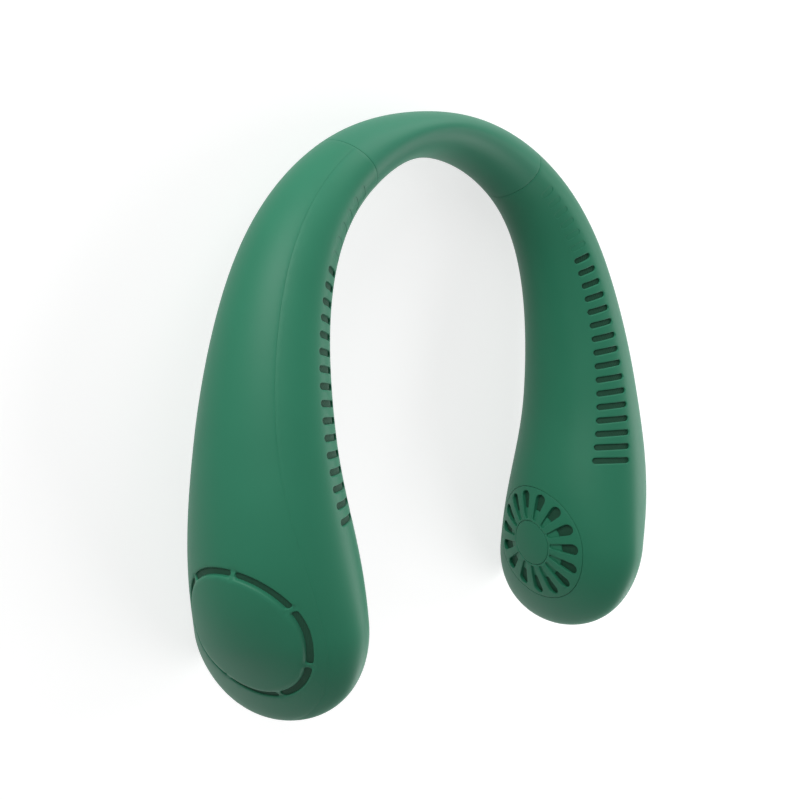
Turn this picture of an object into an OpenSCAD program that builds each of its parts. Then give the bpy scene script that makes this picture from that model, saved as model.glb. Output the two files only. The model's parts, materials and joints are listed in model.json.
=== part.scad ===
// Electric neck fan: two hollow fan arms joined by a soft band behind the neck.
// It lies as on a table: +Z up through the air slots, +Y at the band, -Y at the open end.
// The +X arm is the wearer's left arm. The -X arm is its mirror image.

/* [Arms] */
// Length of one arm along its centre line, from the middle of the back to the tip
arm_length = 214; // [204:1:226]
// Length over which the tip is rounded off
tip_round = 30; // [28:0.5:32]
// Rise of the centre line from the back to the tip
fan_rise = 19; // [14:0.5:22]
// Lean of the arm's sections back towards the neck, in degrees
section_lean = 12; // [6:1:15]
// Thickness of the band at the back of the neck
back_thickness = 14; // [13:0.5:16]
// Height of the band at the back of the neck
back_height = 25.6; // [25:0.2:28]
// Thickness of an arm four fifths along it
bulb_thickness = 44.8; // [44:0.2:47]
// Height of an arm four fifths along it
bulb_height = 58.4; // [57:0.2:62]
// Wall of the plastic shells
wall = 1.8; // [1.6:0.1:2]
// Angle round the section at which the outer shell meets the inner shell
parting_angle = 44; // [38:1:48]
// How much that angle opens round the outer cover
parting_opening = 15; // [13:0.5:16]
// Arc length from the middle of the back to the seam of the soft band
seam_station = 40.6; // [38:0.2:42]

/* [Air slots] */
// Number of open air slots on each arm
slot_count = 16; // [8:1:18]
// Spacing of the air slots along the arm
slot_pitch = 4.94; // [4.6:0.02:5.1]
// Arc length from the middle of the back to the first open slot
slot_station = 78.8; // [77:0.1:81]
// Width of one air slot
slot_width = 2; // [1.4:0.1:2.6]
// Number of shallow blind slots that lead up to the open ones
blind_count = 6; // [2:1:6]
// Depth of a blind slot
blind_depth = 0.7; // [0.4:0.1:1]

/* [Grille and cover] */
// Arc length from the fan wheel's rim to the tip
fan_tip_space = 10.6; // [9:0.2:12]
// Radius of the inner grille
grille_radius = 20; // [19:0.1:20.6]
// Thickness of the inner grille
grille_thickness = 1.1; // [0.9:0.1:1.2]
// Number of teardrop openings in the grille
petal_count = 15; // [9:1:18]
// Radius of a teardrop at its wide outer end
petal_wide = 1.9; // [1.4:0.1:2.2]
// Radius of a teardrop at its narrow inner end
petal_narrow = 0.8; // [0.6:0.1:1]
// Radius of the cap in the middle of the grille
cap_radius = 7.8; // [6.5:0.1:8.2]
// Thickness of the cap
cap_thickness = 0.5; // [0.4:0.05:0.6]
// How far the inlet arcs round the outer cover reach past the fan wheel's rim
cover_overlap = 0.4; // [0:0.1:0.8]
// Width of the inlet arcs
arc_width = 1.8; // [1.2:0.1:2.2]
// Number of inlet arcs
arc_count = 7; // [5:1:8]
// Angle of the bridge between two inlet arcs
bridge_angle = 9; // [8:1:14]

/* [Fan and motor] */
// Outer radius of the fan wheel
wheel_radius = 21; // [19:0.1:21.2]
// Radius at the inner ends of the blades
eye_radius = 15; // [14:0.1:16]
// Half the height of the fan wheel
wheel_half = 4.6; // [4:0.1:4.8]
// Number of blades
blade_count = 23; // [15:1:29]
// Thickness of a blade
blade_thickness = 0.7; // [0.5:0.05:0.9]
// Radius of a blade's curve
blade_curve = 6.5; // [6:0.1:7]
// Radius of the rotor cup
rotor_radius = 10; // [9.6:0.1:10.4]
// Wall of the rotor cup
rotor_wall = 0.8; // [0.6:0.1:0.9]
// Thickness of the magnet ring
magnet_thickness = 0.8; // [0.6:0.1:0.9]
// Air gap between the magnets and the stator
air_gap = 0.5; // [0.4:0.05:0.6]
// Number of stator teeth
tooth_count = 6; // [3:3:9]
// Radius of the motor shaft
shaft_radius = 1; // [0.8:0.05:1.1]
// Running clearance round the shaft
shaft_clearance = 0.03; // [0.02:0.01:0.05]

/* [Battery and controls] */
// Radius of a battery cell
cell_radius = 9.1; // [8.4:0.1:9.2]
// Length of a battery cell
cell_length = 63; // [58:0.5:64]
// Radius of the power button
button_radius = 3; // [2.4:0.1:3.2]
// Travel of the power button
button_travel = 0.4; // [0.3:0.05:0.5]
// Width of the charging socket's mouth
socket_width = 9; // [8.6:0.1:9.2]
// Thickness of the charging socket
socket_thickness = 3.2; // [3:0.05:3.3]

/* [Hidden] */
$fn = 48;

// Shape of an arm at six even stations from the back to the tip
turn_angles = [0, 34, 70, 87, 98, 87];
tilt_angles = [-15.6, -3.8, 4.1, 8.2, 8.6, 5.1];
thickness_swell_shares = [0, 0.21, 0.49, 0.76, 1, 0.14];
height_swell_shares = [0, 0.02, 0.25, 0.6, 1, 1.42];
parting_opening_shares = [0, 0, 0, 0.1, 1, 0.6];
fan_station = arm_length - wheel_radius - fan_tip_space;
// Power of the rounded section: 2 is an ellipse
section_power = 1.84;

fit_gap = 0.15;
cut_overrun = 3;
full_turn = 360;

// Air slots: angles round the section of their outer and inner ends, first and last slot
slot_outer_angles = [93.9, 94.2];
slot_inner_angles = [119.2, 128.1];
slot_dip_angle = 6;

// Soft band
sleeve_wall = 2.4;
plug_length = 9;
tongue_length = 6;
plug_gap = 0.35;
spine_thickness = 0.6;
spine_height = 8;
spine_drop = 1.6;
cable_radius = 1.2;
cable_rise = 5.2;

// Middle of the ring of inlet arcs from the fan's axis, towards the band and upwards
cover_shift = [1.6, 1.9, 0];
// Angle of the first bridge between inlet arcs, from the direction of the band
bridge_turn = 17;

// Grille opening in the inner shell
ledge_width = 1.4;
petal_inset = 1.3;
hub_rim = 1.5;

// Motor, along the fan axis from the middle of the fan outwards
disc_thickness = 0.9;
rim_width = 0.9;
rim_height = 0.7;
hub_wall = 1;
rotor_half = 4.4;
magnet_height = 6;
stator_height = 5.5;
tooth_width = 2.2;
tooth_tip = 1;
tooth_shoe_share = 2 / 3;
winding_radius = 1.9;
bearing_wall = 1;
tube_wall = 0.9;
base_radius = 9.4;
base_thickness = 1;
base_station = 5.6;
post_radius = 2;
screw_circle = 6.9;
screw_radius = 0.8;
screw_head_radius = 1.5;
screw_head_height = 0.8;
screw_grip = 4;
screw_count = 3;
web_thickness = 1.2;

// Air duct
scroll_gap = 1;
scroll_wall = 1;
scroll_half = 5;
scroll_mouth_high = 99;
duct_floor_station = 58;
duct_fall_share = 0.064;
duct_cell_gap = 0.45;
duct_floor_rows = 8;
duct_floor_thickness = 1;
duct_side_gap = 0.3;

// Battery cell
cell_scroll_gap = 3.4;
cell_drop = 6.6;
cell_shift = 1.4;
cell_pitch = 8;
cell_cap_radius = 3;
cell_cap_height = 1;
cell_groove = 0.5;
cell_groove_station = 4;

// Controls, on the lower edge of the -X arm
socket_room = 82;
board_cell_gap = 1;
board_spacing = 9;
button_spacing = 18;
light_spacing = 10;
board_length = 26;
board_height = 10.5;
board_thickness = 1;
board_edge_gap = 2.6;
button_proud = 0.5;
button_flange = 0.6;
button_flange_depth = 1.45;
button_flange_thickness = 0.6;
switch_width = 5;
switch_depth = 3;
switch_gap = 0.05;
plunger_radius = 0.8;
plunger_length = 0.7;
light_radius = 1;
socket_depth = 7;
socket_wall = 0.3;
tongue_width = 6.6;
tongue_thickness = 0.7;

// Fineness of the moulded surfaces
path_steps = 107;
shell_rows = 14;
cap_rows = 5;
outer_columns = 8;
inner_columns = 16;
sleeve_rows = 10;
ring_columns = 16;
bar_rows = 12;
bore_rows = 5;
plug_rows = 2;
cable_sides = 6;

green = [0.21, 0.46, 0.36];
dark_green = [0.15, 0.34, 0.26];
band_green = [0.23, 0.47, 0.38];
black = [0.10, 0.10, 0.11];
steel = [0.72, 0.73, 0.75];
brass = [0.80, 0.66, 0.36];
copper = [0.78, 0.45, 0.25];
magnet_grey = [0.30, 0.30, 0.32];
board_green = [0.08, 0.30, 0.20];
cell_blue = [0.20, 0.35, 0.60];
clear_white = [0.92, 0.95, 0.92];

// A smooth curve through even stations. The parity is 1 where the other arm mirrors the values
// and -1 where it also turns their sign.
function curve(values, share, parity = 1) =
    let (last = len(values) - 1,
         t = min(max(share, 0), 1) * last,
         i = min(floor(t), last - 1),
         f = t - i,
         before = i > 0 ? values[i - 1] : parity * values[1],
         p = values[i],
         q = values[i + 1],
         after = i < last - 1 ? values[i + 2] : 2 * values[last] - values[last - 1])
    p + f / 2 * (q - before + f * (2 * before - 5 * p + 4 * q - after
        + f * (3 * (p - q) + after - before)));

function turn(share) = curve(turn_angles, share, -1);

// The centre line seen from above, walked in equal steps along its turning direction
step = arm_length / path_steps;
walk = [
    for (i = 0, p = [0, 0]; i <= path_steps;
         p = p + step * [cos(turn((i + 0.5) / path_steps)), -sin(turn((i + 0.5) / path_steps))],
         i = i + 1) p
];
function centre(s) =
    let (t = s / step,
         i = min(floor(t), path_steps - 1),
         p = walk[i] + (walk[i + 1] - walk[i]) * (t - i))
    [p.x, p.y, fan_rise * pow(sin(90 * s / arm_length), 2)];

// Axes of a section: along the arm, towards its upper edge, and out of its outer face
function axes(s) =
    let (th = turn(s / arm_length),
         lean = section_lean * sin(th),
         tilt = curve(tilt_angles, s / arm_length),
         along = [cos(th), -sin(th), 0],
         out = [sin(th), cos(th), 0],
         up = cos(lean) * [0, 0, 1] - sin(lean) * along)
    [cos(lean) * along + sin(lean) * [0, 0, 1],
     cos(tilt) * up - sin(tilt) * out,
     cos(tilt) * out + sin(tilt) * up];

// Rows run from 0 at the back to 1 where the tip starts to round off, and to 2 at the tip
straight = arm_length - tip_round;
function row_station(v, inset = 0) =
    v <= 1 ? v * straight : straight + (tip_round - inset) * sin(90 * (v - 1));
function row_closing(v) = v <= 1 ? 1 : cos(90 * (v - 1));
function row_at(s) = s <= straight ? s / straight : 1 + asin((s - straight) / tip_round) / 90;

function signed_power(c) = sign(c) * pow(abs(c), 2 / section_power);
function half_thickness(s) =
    (back_thickness + (bulb_thickness - back_thickness) * curve(thickness_swell_shares, s / arm_length)) / 2;
function half_height(s) =
    (back_height + (bulb_height - back_height) * curve(height_swell_shares, s / arm_length)) / 2;

// A point of the surface inside the skin by inset, in the section's own [up, out] measures
function section_point(v, angle, inset = 0) =
    let (s = row_station(v))
    row_closing(v) * [(half_height(s) - inset) * signed_power(sin(angle)),
                      (half_thickness(s) - inset) * signed_power(cos(angle))];
function skin_point(v, angle, inset = 0) =
    let (s = row_station(v, inset), f = axes(s), p = section_point(v, angle, inset))
    centre(s) + p[0] * f[1] + p[1] * f[2];
// The same, with rows of the -X arm counted below zero
function band_point(v, angle, inset) =
    let (p = skin_point(abs(v), angle, inset))
    [v < 0 ? -p.x : p.x, p.y, p.z];

// Places round the section for a shell: a middle angle, and a share of the way to the parting line
function parting(s) = parting_angle + parting_opening * curve(parting_opening_shares, s / arm_length);
function place_angle(v, place) =
    let (reach = parting(row_station(v)))
    place[0] + place[1] * (place[0] == 0 ? reach : full_turn / 2 - reach);

function spread(from, to, count) = [for (i = [0:count]) from + (to - from) * i / count];

shell_start = row_at(seam_station + fit_gap);
shell_v = concat(spread(shell_start, 1, shell_rows),
                 [for (i = [1:cap_rows - 1]) 1 + i / cap_rows]);
outer_places = [for (share = spread(-1, 1, outer_columns)) [0, share]];
post_places = [for (share = spread(-1.5, 1.5, outer_columns)) [0, share]];
inner_places = [for (share = spread(-1, 1, inner_columns)) [full_turn / 2, share]];
ring_angles = [for (i = [0:ring_columns - 1]) full_turn * i / ring_columns];
sleeve_v = spread(-row_at(seam_station - fit_gap), row_at(seam_station - fit_gap), sleeve_rows);

// The part stands on its lowest points, with the middle of its length over the origin
skin_sample = concat(
    [for (v = shell_v, place = inner_places) skin_point(v, place_angle(v, place))],
    [for (v = sleeve_v, angle = ring_angles) band_point(v, angle, 0)],
    [centre(arm_length)]);
table_z = min([for (p = skin_sample) p.z]);
front_y = min([for (p = skin_sample) p.y]);
back_y = max([for (p = skin_sample) p.y]);
placing = [0, -(front_y + back_y) / 2, -table_z];

function quad(a, b, c, d) = [[a, b, c], [a, c, d]];

// Part of the arm's wall between two insets, over rows v and section places, closed at the tip
module wall_patch(v, places, from_inset, to_inset) {
    rows = len(v);
    columns = len(places);
    inner = rows * columns;
    last_row = rows - 1;
    last = columns - 1;
    out_tip = 2 * inner;
    in_tip = out_tip + 1;
    points = concat(
        [for (r = v, place = places) skin_point(r, place_angle(r, place), from_inset)],
        [for (r = v, place = places) skin_point(r, place_angle(r, place), to_inset)],
        [centre(arm_length - from_inset), centre(arm_length - to_inset)]);
    skin_faces = [
        for (i = [0:last_row - 1], j = [0:last - 1])
        let (a = i * columns + j, b = a + 1, d = a + columns, c = d + 1)
        each concat(quad(a, d, c, b), quad(a + inner, b + inner, c + inner, d + inner))
    ];
    side_faces = [
        for (i = [0:last_row - 1])
        let (a = i * columns, d = a + columns, b = a + last, c = d + last)
        each concat(quad(a, a + inner, d + inner, d), quad(b, c, c + inner, b + inner))
    ];
    start_faces = [
        for (j = [0:last - 1]) each quad(j, j + 1, j + 1 + inner, j + inner)
    ];
    e = last_row * columns;
    end_faces = concat(
        [for (j = [e:e + last - 1]) each [[j + 1, j, out_tip], [j + inner, j + 1 + inner, in_tip]]],
        quad(out_tip, e, e + inner, in_tip),
        quad(e + last, out_tip, in_tip, e + last + inner));
    polyhedron(points, concat(skin_faces, side_faces, start_faces, end_faces), convexity = 8);
}

// A closed ring wall between two insets, over rows of either arm
module ring_wall(v, from_inset, to_inset) {
    rows = len(v);
    inner = rows * ring_columns;
    points = concat(
        [for (r = v, angle = ring_angles) band_point(r, angle, from_inset)],
        [for (r = v, angle = ring_angles) band_point(r, angle, to_inset)]);
    e = (rows - 1) * ring_columns;
    faces = concat(
        [for (i = [0:rows - 2], j = [0:ring_columns - 1])
         let (n = (j + 1) % ring_columns,
              a = i * ring_columns + j, b = i * ring_columns + n, d = a + ring_columns, c = b + ring_columns)
         each concat(quad(a, d, c, b), quad(a + inner, b + inner, c + inner, d + inner))],
        [for (j = [0:ring_columns - 1])
         let (n = (j + 1) % ring_columns)
         each concat(quad(j, n, n + inner, j + inner), quad(e + n, e + j, e + j + inner, e + n + inner))]);
    polyhedron(points, faces, convexity = 6);
}

// A solid plug that follows the band, over [row, inset] pairs of the +X arm
module solid_loft(v) {
    rows = len(v);
    points = concat(
        [for (r = v, angle = ring_angles) band_point(r[0], angle, r[1])],
        [centre(row_station(v[0][0])), centre(row_station(v[rows - 1][0]))]);
    first = rows * ring_columns;
    e = (rows - 1) * ring_columns;
    faces = concat(
        [for (i = [0:rows - 2], j = [0:ring_columns - 1])
         let (n = (j + 1) % ring_columns,
              a = i * ring_columns + j, b = i * ring_columns + n, d = a + ring_columns, c = b + ring_columns)
         each quad(a, d, c, b)],
        [for (j = [0:ring_columns - 1])
         let (n = (j + 1) % ring_columns)
         each [[j, n, first], [e + n, e + j, first + 1]]]);
    polyhedron(points, faces, convexity = 4);
}

// A bar of any outline swept along the band, the outline given as [up, out] places
function bar_point(s, place) =
    let (f = axes(abs(s)), p = centre(abs(s)) + place[0] * f[1] + place[1] * f[2])
    [s < 0 ? -p.x : p.x, p.y, p.z];
module swept_bar(stations, outline) {
    sides = len(outline);
    rows = len(stations);
    e = (rows - 1) * sides;
    points = [for (s = stations, place = outline) bar_point(s, place)];
    faces = concat(
        [for (i = [0:rows - 2], j = [0:sides - 1])
         let (n = (j + 1) % sides,
              a = i * sides + j, b = i * sides + n, d = a + sides, c = b + sides)
         each quad(a, d, c, b)],
        [for (j = [1:sides - 2]) each [[0, j, j + 1], [e, e + j + 1, e + j]]]);
    polyhedron(points, faces, convexity = 4);
}

// Places its children in the frame of a section: x towards the band, y to the upper edge, z outwards
module in_section(s) {
    f = axes(s);
    c = centre(s);
    multmatrix([[-f[0].x, f[1].x, f[2].x, c.x],
                [-f[0].y, f[1].y, f[2].y, c.y],
                [-f[0].z, f[1].z, f[2].z, c.z],
                [0, 0, 0, 1]])
        children();
}
module in_fan() in_section(fan_station) children();

// The +X arm, or the -X arm as its mirror image, set down on the table
module arm(side) {
    translate(placing)
        mirror([side < 0 ? 1 : 0, 0, 0])
            children();
}

// A round-ended slot across the edge, cut square to the line between its two ends
module stadium_cut(s, from_angle, to_angle, width, depth) {
    v = row_at(s);
    p = section_point(v, from_angle);
    q = section_point(v, to_angle);
    d = (q - p) / norm(q - p);
    start = p + d * width / 2;
    end = q - d * width / 2;
    in_section(s)
        hull()
            for (place = [start, end])
                translate([0, place[0], place[1]])
                    rotate([atan2(d[1], d[0]), 0, 0])
                        translate([0, 0, -depth])
                            cylinder(h = depth + cut_overrun, d = width, $fn = 6);
}

function slot_s(i) = slot_station + i * slot_pitch;
function slot_share(i) = min(max(i / (slot_count - 1), 0), 1);
function slot_from(i) =
    let (w = slot_share(i))
    slot_outer_angles[0] + (slot_outer_angles[1] - slot_outer_angles[0]) * w
        - slot_dip_angle * 4 * w * (1 - w);
function slot_to(i) =
    let (w = slot_share(i))
    slot_inner_angles[0] + (slot_inner_angles[1] - slot_inner_angles[0]) * w
        - slot_dip_angle * 2 * w * (1 - w);

module air_slots() {
    for (i = [0:slot_count - 1])
        stadium_cut(slot_s(i), slot_from(i), slot_to(i), slot_width, wall * 2);
    for (i = [-blind_count:-1])
        stadium_cut(slot_s(i), slot_from(i), slot_to(i), slot_width, blind_depth);
}

// Inlet arcs round the outer cover, each a chain of round-ended pieces
cover_radius = wheel_radius + cover_overlap;
arc_pieces = 3;
arc_sweep = full_turn / arc_count - bridge_angle;
module inlet_arcs() {
    r = cover_radius - arc_width / 2;
    arc_turn = full_turn / arc_count;
    start = bridge_turn + bridge_angle / 2;
    in_fan()
        translate(cover_shift)
            for (k = [0:arc_count - 1], i = [0:arc_pieces - 1])
                hull()
                    for (j = [i, i + 1])
                        rotate([0, 0, start + k * arc_turn + arc_sweep * j / arc_pieces])
                            translate([r, 0, 0])
                                cylinder(h = bulb_thickness, d = arc_width, $fn = 6);
}

screw_angles = [for (i = [0:screw_count - 1]) full_turn * i / screw_count];
post_start = base_station + base_thickness;
// The posts run on past the wall, as far as the skin stands out over the one nearest the band
post_top = half_thickness(fan_station - screw_circle - post_radius);
module motor_posts() {
    difference() {
        in_fan()
            for (angle = screw_angles)
                rotate([0, 0, angle])
                    translate([screw_circle, 0, post_start]) {
                        cylinder(h = post_top - post_start, r = post_radius, $fn = 12);
                        translate([-screw_circle, -web_thickness / 2, screw_grip])
                            cube([screw_circle, web_thickness, post_top - post_start - screw_grip]);
                    }
        wall_patch(shell_v, post_places, -2 * cut_overrun, wall / 2);
    }
}
module screw_holes() {
    in_fan()
        for (angle = screw_angles)
            rotate([0, 0, angle])
                translate([screw_circle, 0, post_start - cut_overrun])
                    cylinder(h = cut_overrun + screw_grip, r = screw_radius + fit_gap, $fn = 12);
}

module outer_shell(side) {
    color(green)
        arm(side)
            difference() {
                union() {
                    wall_patch(shell_v, outer_places, 0, wall);
                    motor_posts();
                }
                inlet_arcs();
                screw_holes();
            }
}

module grille_disc(radius, from_inset, to_inset) {
    intersection() {
        wall_patch(shell_v, inner_places, from_inset, to_inset);
        in_fan()
            translate([0, 0, -bulb_thickness])
                cylinder(h = bulb_thickness, r = radius);
    }
}

module inner_shell(side) {
    color(green)
        arm(side)
            difference() {
                wall_patch(shell_v, inner_places, 0, wall);
                air_slots();
                grille_disc(grille_radius + fit_gap, -cut_overrun, grille_thickness + fit_gap);
                in_fan()
                    translate([0, 0, -bulb_thickness])
                        cylinder(h = bulb_thickness, r = grille_radius - ledge_width);
                if (side < 0)
                    control_holes();
            }
}

module petals() {
    outer = grille_radius - petal_inset - petal_wide;
    inner = cap_radius + petal_narrow + hub_rim / 2;
    in_fan()
        translate([0, 0, -bulb_thickness])
            for (i = [0:petal_count - 1])
                rotate([0, 0, full_turn * i / petal_count])
                    hull() {
                        translate([outer, 0, 0])
                            cylinder(h = bulb_thickness, r = petal_wide, $fn = 8);
                        translate([inner, 0, 0])
                            cylinder(h = bulb_thickness, r = petal_narrow, $fn = 6);
                    }
}

module inner_grille(side) {
    color(green)
        arm(side)
            difference() {
                grille_disc(grille_radius, 0, grille_thickness);
                petals();
                grille_disc(cap_radius + fit_gap, -cut_overrun, cap_thickness + fit_gap);
            }
}

module grille_cap(side) {
    color(green)
        arm(side)
            grille_disc(cap_radius, 0, cap_thickness);
}

// The shaft runs from the cup's end, on the neck side, to the motor base
bore_radius = shaft_radius + shaft_clearance;
bearing_radius = bore_radius + bearing_wall;
tube_radius = bearing_radius + tube_wall;
cup_bottom = -rotor_half;
stator_start = base_station - screw_head_height - fit_gap - stator_height;
stator_radius = rotor_radius - rotor_wall - magnet_thickness - air_gap;
bearing_start = cup_bottom + rotor_wall + fit_gap;

module rotor_cup(side) {
    color(steel)
        arm(side)
            in_fan()
                translate([0, 0, cup_bottom])
                    difference() {
                        cylinder(h = 2 * rotor_half, r = rotor_radius);
                        translate([0, 0, rotor_wall])
                            cylinder(h = 2 * rotor_half, r = rotor_radius - rotor_wall);
                        translate([0, 0, -cut_overrun])
                            cylinder(h = 2 * cut_overrun, r = shaft_radius);
                    }
}

module magnet_ring(side) {
    color(magnet_grey)
        arm(side)
            in_fan()
                translate([0, 0, rotor_half - magnet_height])
                    difference() {
                        cylinder(h = magnet_height, r = rotor_radius - rotor_wall);
                        translate([0, 0, -cut_overrun])
                            cylinder(h = magnet_height + 2 * cut_overrun,
                                     r = rotor_radius - rotor_wall - magnet_thickness);
                    }
}

module motor_shaft(side) {
    color(steel)
        arm(side)
            in_fan()
                translate([0, 0, cup_bottom])
                    cylinder(h = base_station + rotor_half - 2 * fit_gap, r = shaft_radius);
}

module motor_bearing(side) {
    color(brass)
        arm(side)
            in_fan()
                difference() {
                    translate([0, 0, bearing_start])
                        cylinder(h = base_station - bearing_start, r = bearing_radius);
                    translate([0, 0, bearing_start - cut_overrun])
                        cylinder(h = base_station - bearing_start + 2 * cut_overrun, r = bore_radius);
                }
}

module motor_base(side) {
    color(board_green)
        arm(side)
            in_fan()
                difference() {
                    union() {
                        translate([0, 0, base_station])
                            cylinder(h = base_thickness, r = base_radius);
                        translate([0, 0, bearing_start])
                            cylinder(h = base_station - bearing_start, r = tube_radius);
                    }
                    translate([0, 0, bearing_start - cut_overrun])
                        cylinder(h = base_station - bearing_start + cut_overrun, r = bearing_radius);
                    for (angle = screw_angles)
                        rotate([0, 0, angle])
                            translate([screw_circle, 0, base_station - cut_overrun])
                                cylinder(h = base_thickness + 2 * cut_overrun, r = screw_radius + fit_gap);
                }
}

module stator(side) {
    neck_end = stator_radius - tooth_tip;
    shoe_angle = full_turn / tooth_count * tooth_shoe_share;
    color(copper)
        arm(side)
            in_fan()
                translate([0, 0, stator_start])
                    difference() {
                        union() {
                            cylinder(h = stator_height, r = tube_radius + tooth_tip);
                            for (i = [0:tooth_count - 1])
                                rotate([0, 0, full_turn * (i + 0.5) / tooth_count]) {
                                    translate([0, -tooth_width / 2, 0])
                                        cube([neck_end, tooth_width, stator_height]);
                                    translate([(tube_radius + tooth_tip + neck_end) / 2, 0,
                                               stator_height / 2])
                                        rotate([0, 90, 0])
                                            cylinder(h = neck_end - tube_radius - tooth_tip * 2,
                                                     r = winding_radius, center = true);
                                    rotate([0, 0, -shoe_angle / 2])
                                        rotate_extrude(angle = shoe_angle)
                                            translate([neck_end, 0])
                                                square([tooth_tip, stator_height]);
                                }
                        }
                        translate([0, 0, -cut_overrun])
                            cylinder(h = stator_height + 2 * cut_overrun, r = tube_radius);
                    }
}

module motor_screws(side) {
    color(steel)
        arm(side)
            in_fan()
                for (angle = screw_angles)
                    rotate([0, 0, angle])
                        translate([screw_circle, 0, base_station]) {
                            cylinder(h = base_thickness + screw_grip - fit_gap, r = screw_radius);
                            translate([0, 0, -screw_head_height])
                                cylinder(h = screw_head_height, r = screw_head_radius);
                        }
}

// A blade is an arc about a centre on the pitch circle, from the eye to the rim
blade_centre = (eye_radius + wheel_radius) / 2;
function blade_angle(radius) =
    acos((radius * radius - blade_centre * blade_centre - blade_curve * blade_curve)
         / (2 * blade_centre * blade_curve));
module fan_wheel(side) {
    from = blade_angle(wheel_radius - rim_width / 2);
    to = blade_angle(eye_radius);
    color(dark_green)
        arm(side)
            in_fan()
                difference() {
                    union() {
                        translate([0, 0, -disc_thickness / 2])
                            cylinder(h = disc_thickness, r = wheel_radius);
                        translate([0, 0, -rotor_half])
                            cylinder(h = 2 * rotor_half, r = rotor_radius + hub_wall);
                        for (end = [0, 1])
                            mirror([0, 0, end])
                                translate([0, 0, wheel_half - rim_height])
                                    difference() {
                                        cylinder(h = rim_height, r = wheel_radius);
                                        translate([0, 0, -cut_overrun])
                                            cylinder(h = rim_height + 2 * cut_overrun,
                                                     r = wheel_radius - rim_width);
                                    }
                        for (i = [0:blade_count - 1])
                            rotate([0, 0, full_turn * i / blade_count])
                                translate([blade_centre, 0, -wheel_half + rim_height / 2])
                                    rotate([0, 0, from])
                                        rotate_extrude(angle = to - from)
                                            translate([blade_curve - blade_thickness / 2, 0])
                                                square([blade_thickness, 2 * wheel_half - rim_height]);
                    }
                    translate([0, 0, -rotor_half - cut_overrun])
                        cylinder(h = 2 * rotor_half + 2 * cut_overrun, r = rotor_radius);
                }
}

// The duct: a floor over the battery bay, and a scroll wall round the fan that opens to the slots
scroll_radius = wheel_radius + scroll_gap + scroll_wall;
cell_station = fan_station - scroll_radius - cell_scroll_gap - cell_length / 2;
duct_floor_end = fan_station - scroll_radius + scroll_wall / 2;
function floor_rise(s) =
    cell_radius - cell_drop + duct_cell_gap + duct_floor_thickness + (cell_station - s) * duct_fall_share;
function floor_point(s, side, drop) =
    let (f = axes(s),
         rise = floor_rise(s),
         inside = half_height(s) - wall,
         reach = pow(1 - pow(rise / inside, section_power), 1 / section_power)
             * (half_thickness(s) - wall) - duct_side_gap)
    centre(s) + (rise - drop) * f[1] + side * reach * f[2];
module duct_floor() {
    stations = spread(duct_floor_station, duct_floor_end, duct_floor_rows);
    corners = [[1, 0], [1, duct_floor_thickness], [-1, duct_floor_thickness], [-1, 0]];
    points = [for (s = stations, c = corners) floor_point(s, c[0], c[1])];
    e = duct_floor_rows * 4;
    faces = concat(
        [for (i = [0:duct_floor_rows - 1], j = [0:3])
         let (n = (j + 1) % 4, a = i * 4 + j, b = i * 4 + n, d = a + 4, c = b + 4)
         each quad(a, b, c, d)],
        quad(3, 2, 1, 0), quad(e, e + 1, e + 2, e + 3));
    polyhedron(points, faces, convexity = 3);
}

// The scroll's mouth starts half-way through the floor's end
floor_end = [for (side = [-1, 1]) floor_point(duct_floor_end, side, duct_floor_thickness / 2)];
floor_end_rise = ((floor_end[0] + floor_end[1]) / 2 - centre(fan_station)) * axes(fan_station)[1];
scroll_mouth_low = asin(floor_end_rise / scroll_radius);
module air_duct(side) {
    color(dark_green)
        arm(side) {
            duct_floor();
            in_fan()
                rotate([0, 0, scroll_mouth_high])
                    translate([0, 0, -scroll_half])
                        rotate_extrude(angle = full_turn - scroll_mouth_high + scroll_mouth_low)
                            translate([scroll_radius - scroll_wall, 0])
                                square([scroll_wall, 2 * scroll_half]);
        }
}

module battery_cell(side) {
    color(cell_blue)
        arm(side)
            in_section(cell_station)
                translate([0, -cell_drop, -cell_shift])
                    rotate([0, -90, cell_pitch])
                        translate([0, 0, -cell_length / 2]) {
                            difference() {
                                cylinder(h = cell_length, r = cell_radius);
                                translate([0, 0, cell_groove_station])
                                    difference() {
                                        cylinder(h = cell_groove, r = cell_radius + cut_overrun);
                                        cylinder(h = cell_groove, r = cell_radius - cell_groove);
                                    }
                            }
                            translate([0, 0, -cell_cap_height])
                                cylinder(h = cell_cap_height, r = cell_cap_radius);
                        }
}

// The soft band with its steel spine and the cable that joins the two arms
module neck_sleeve() {
    color(band_green)
        translate(placing)
            ring_wall(sleeve_v, 0, sleeve_wall);
}

spine_end = seam_station + plug_length - fit_gap;
spine_outline = [for (end = [-1, 1]) end * spine_height / 2 - spine_drop];
function spine_corners(gap) =
    let (low = spine_outline[0] - gap, high = spine_outline[1] + gap, half = spine_thickness / 2 + gap)
    [[low, half], [high, half], [high, -half], [low, -half]];
function cable_corners(gap) =
    [for (i = [0:cable_sides - 1])
     let (angle = full_turn * i / cable_sides)
     [cable_rise + (cable_radius + gap) * sin(angle), (cable_radius + gap) * cos(angle)]];

module neck_spine() {
    color(steel)
        translate(placing)
            swept_bar(spread(-spine_end, spine_end, bar_rows), spine_corners(0));
}

module neck_cable() {
    color(black)
        translate(placing)
            swept_bar(spread(-spine_end, spine_end, bar_rows), cable_corners(0));
}

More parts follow.
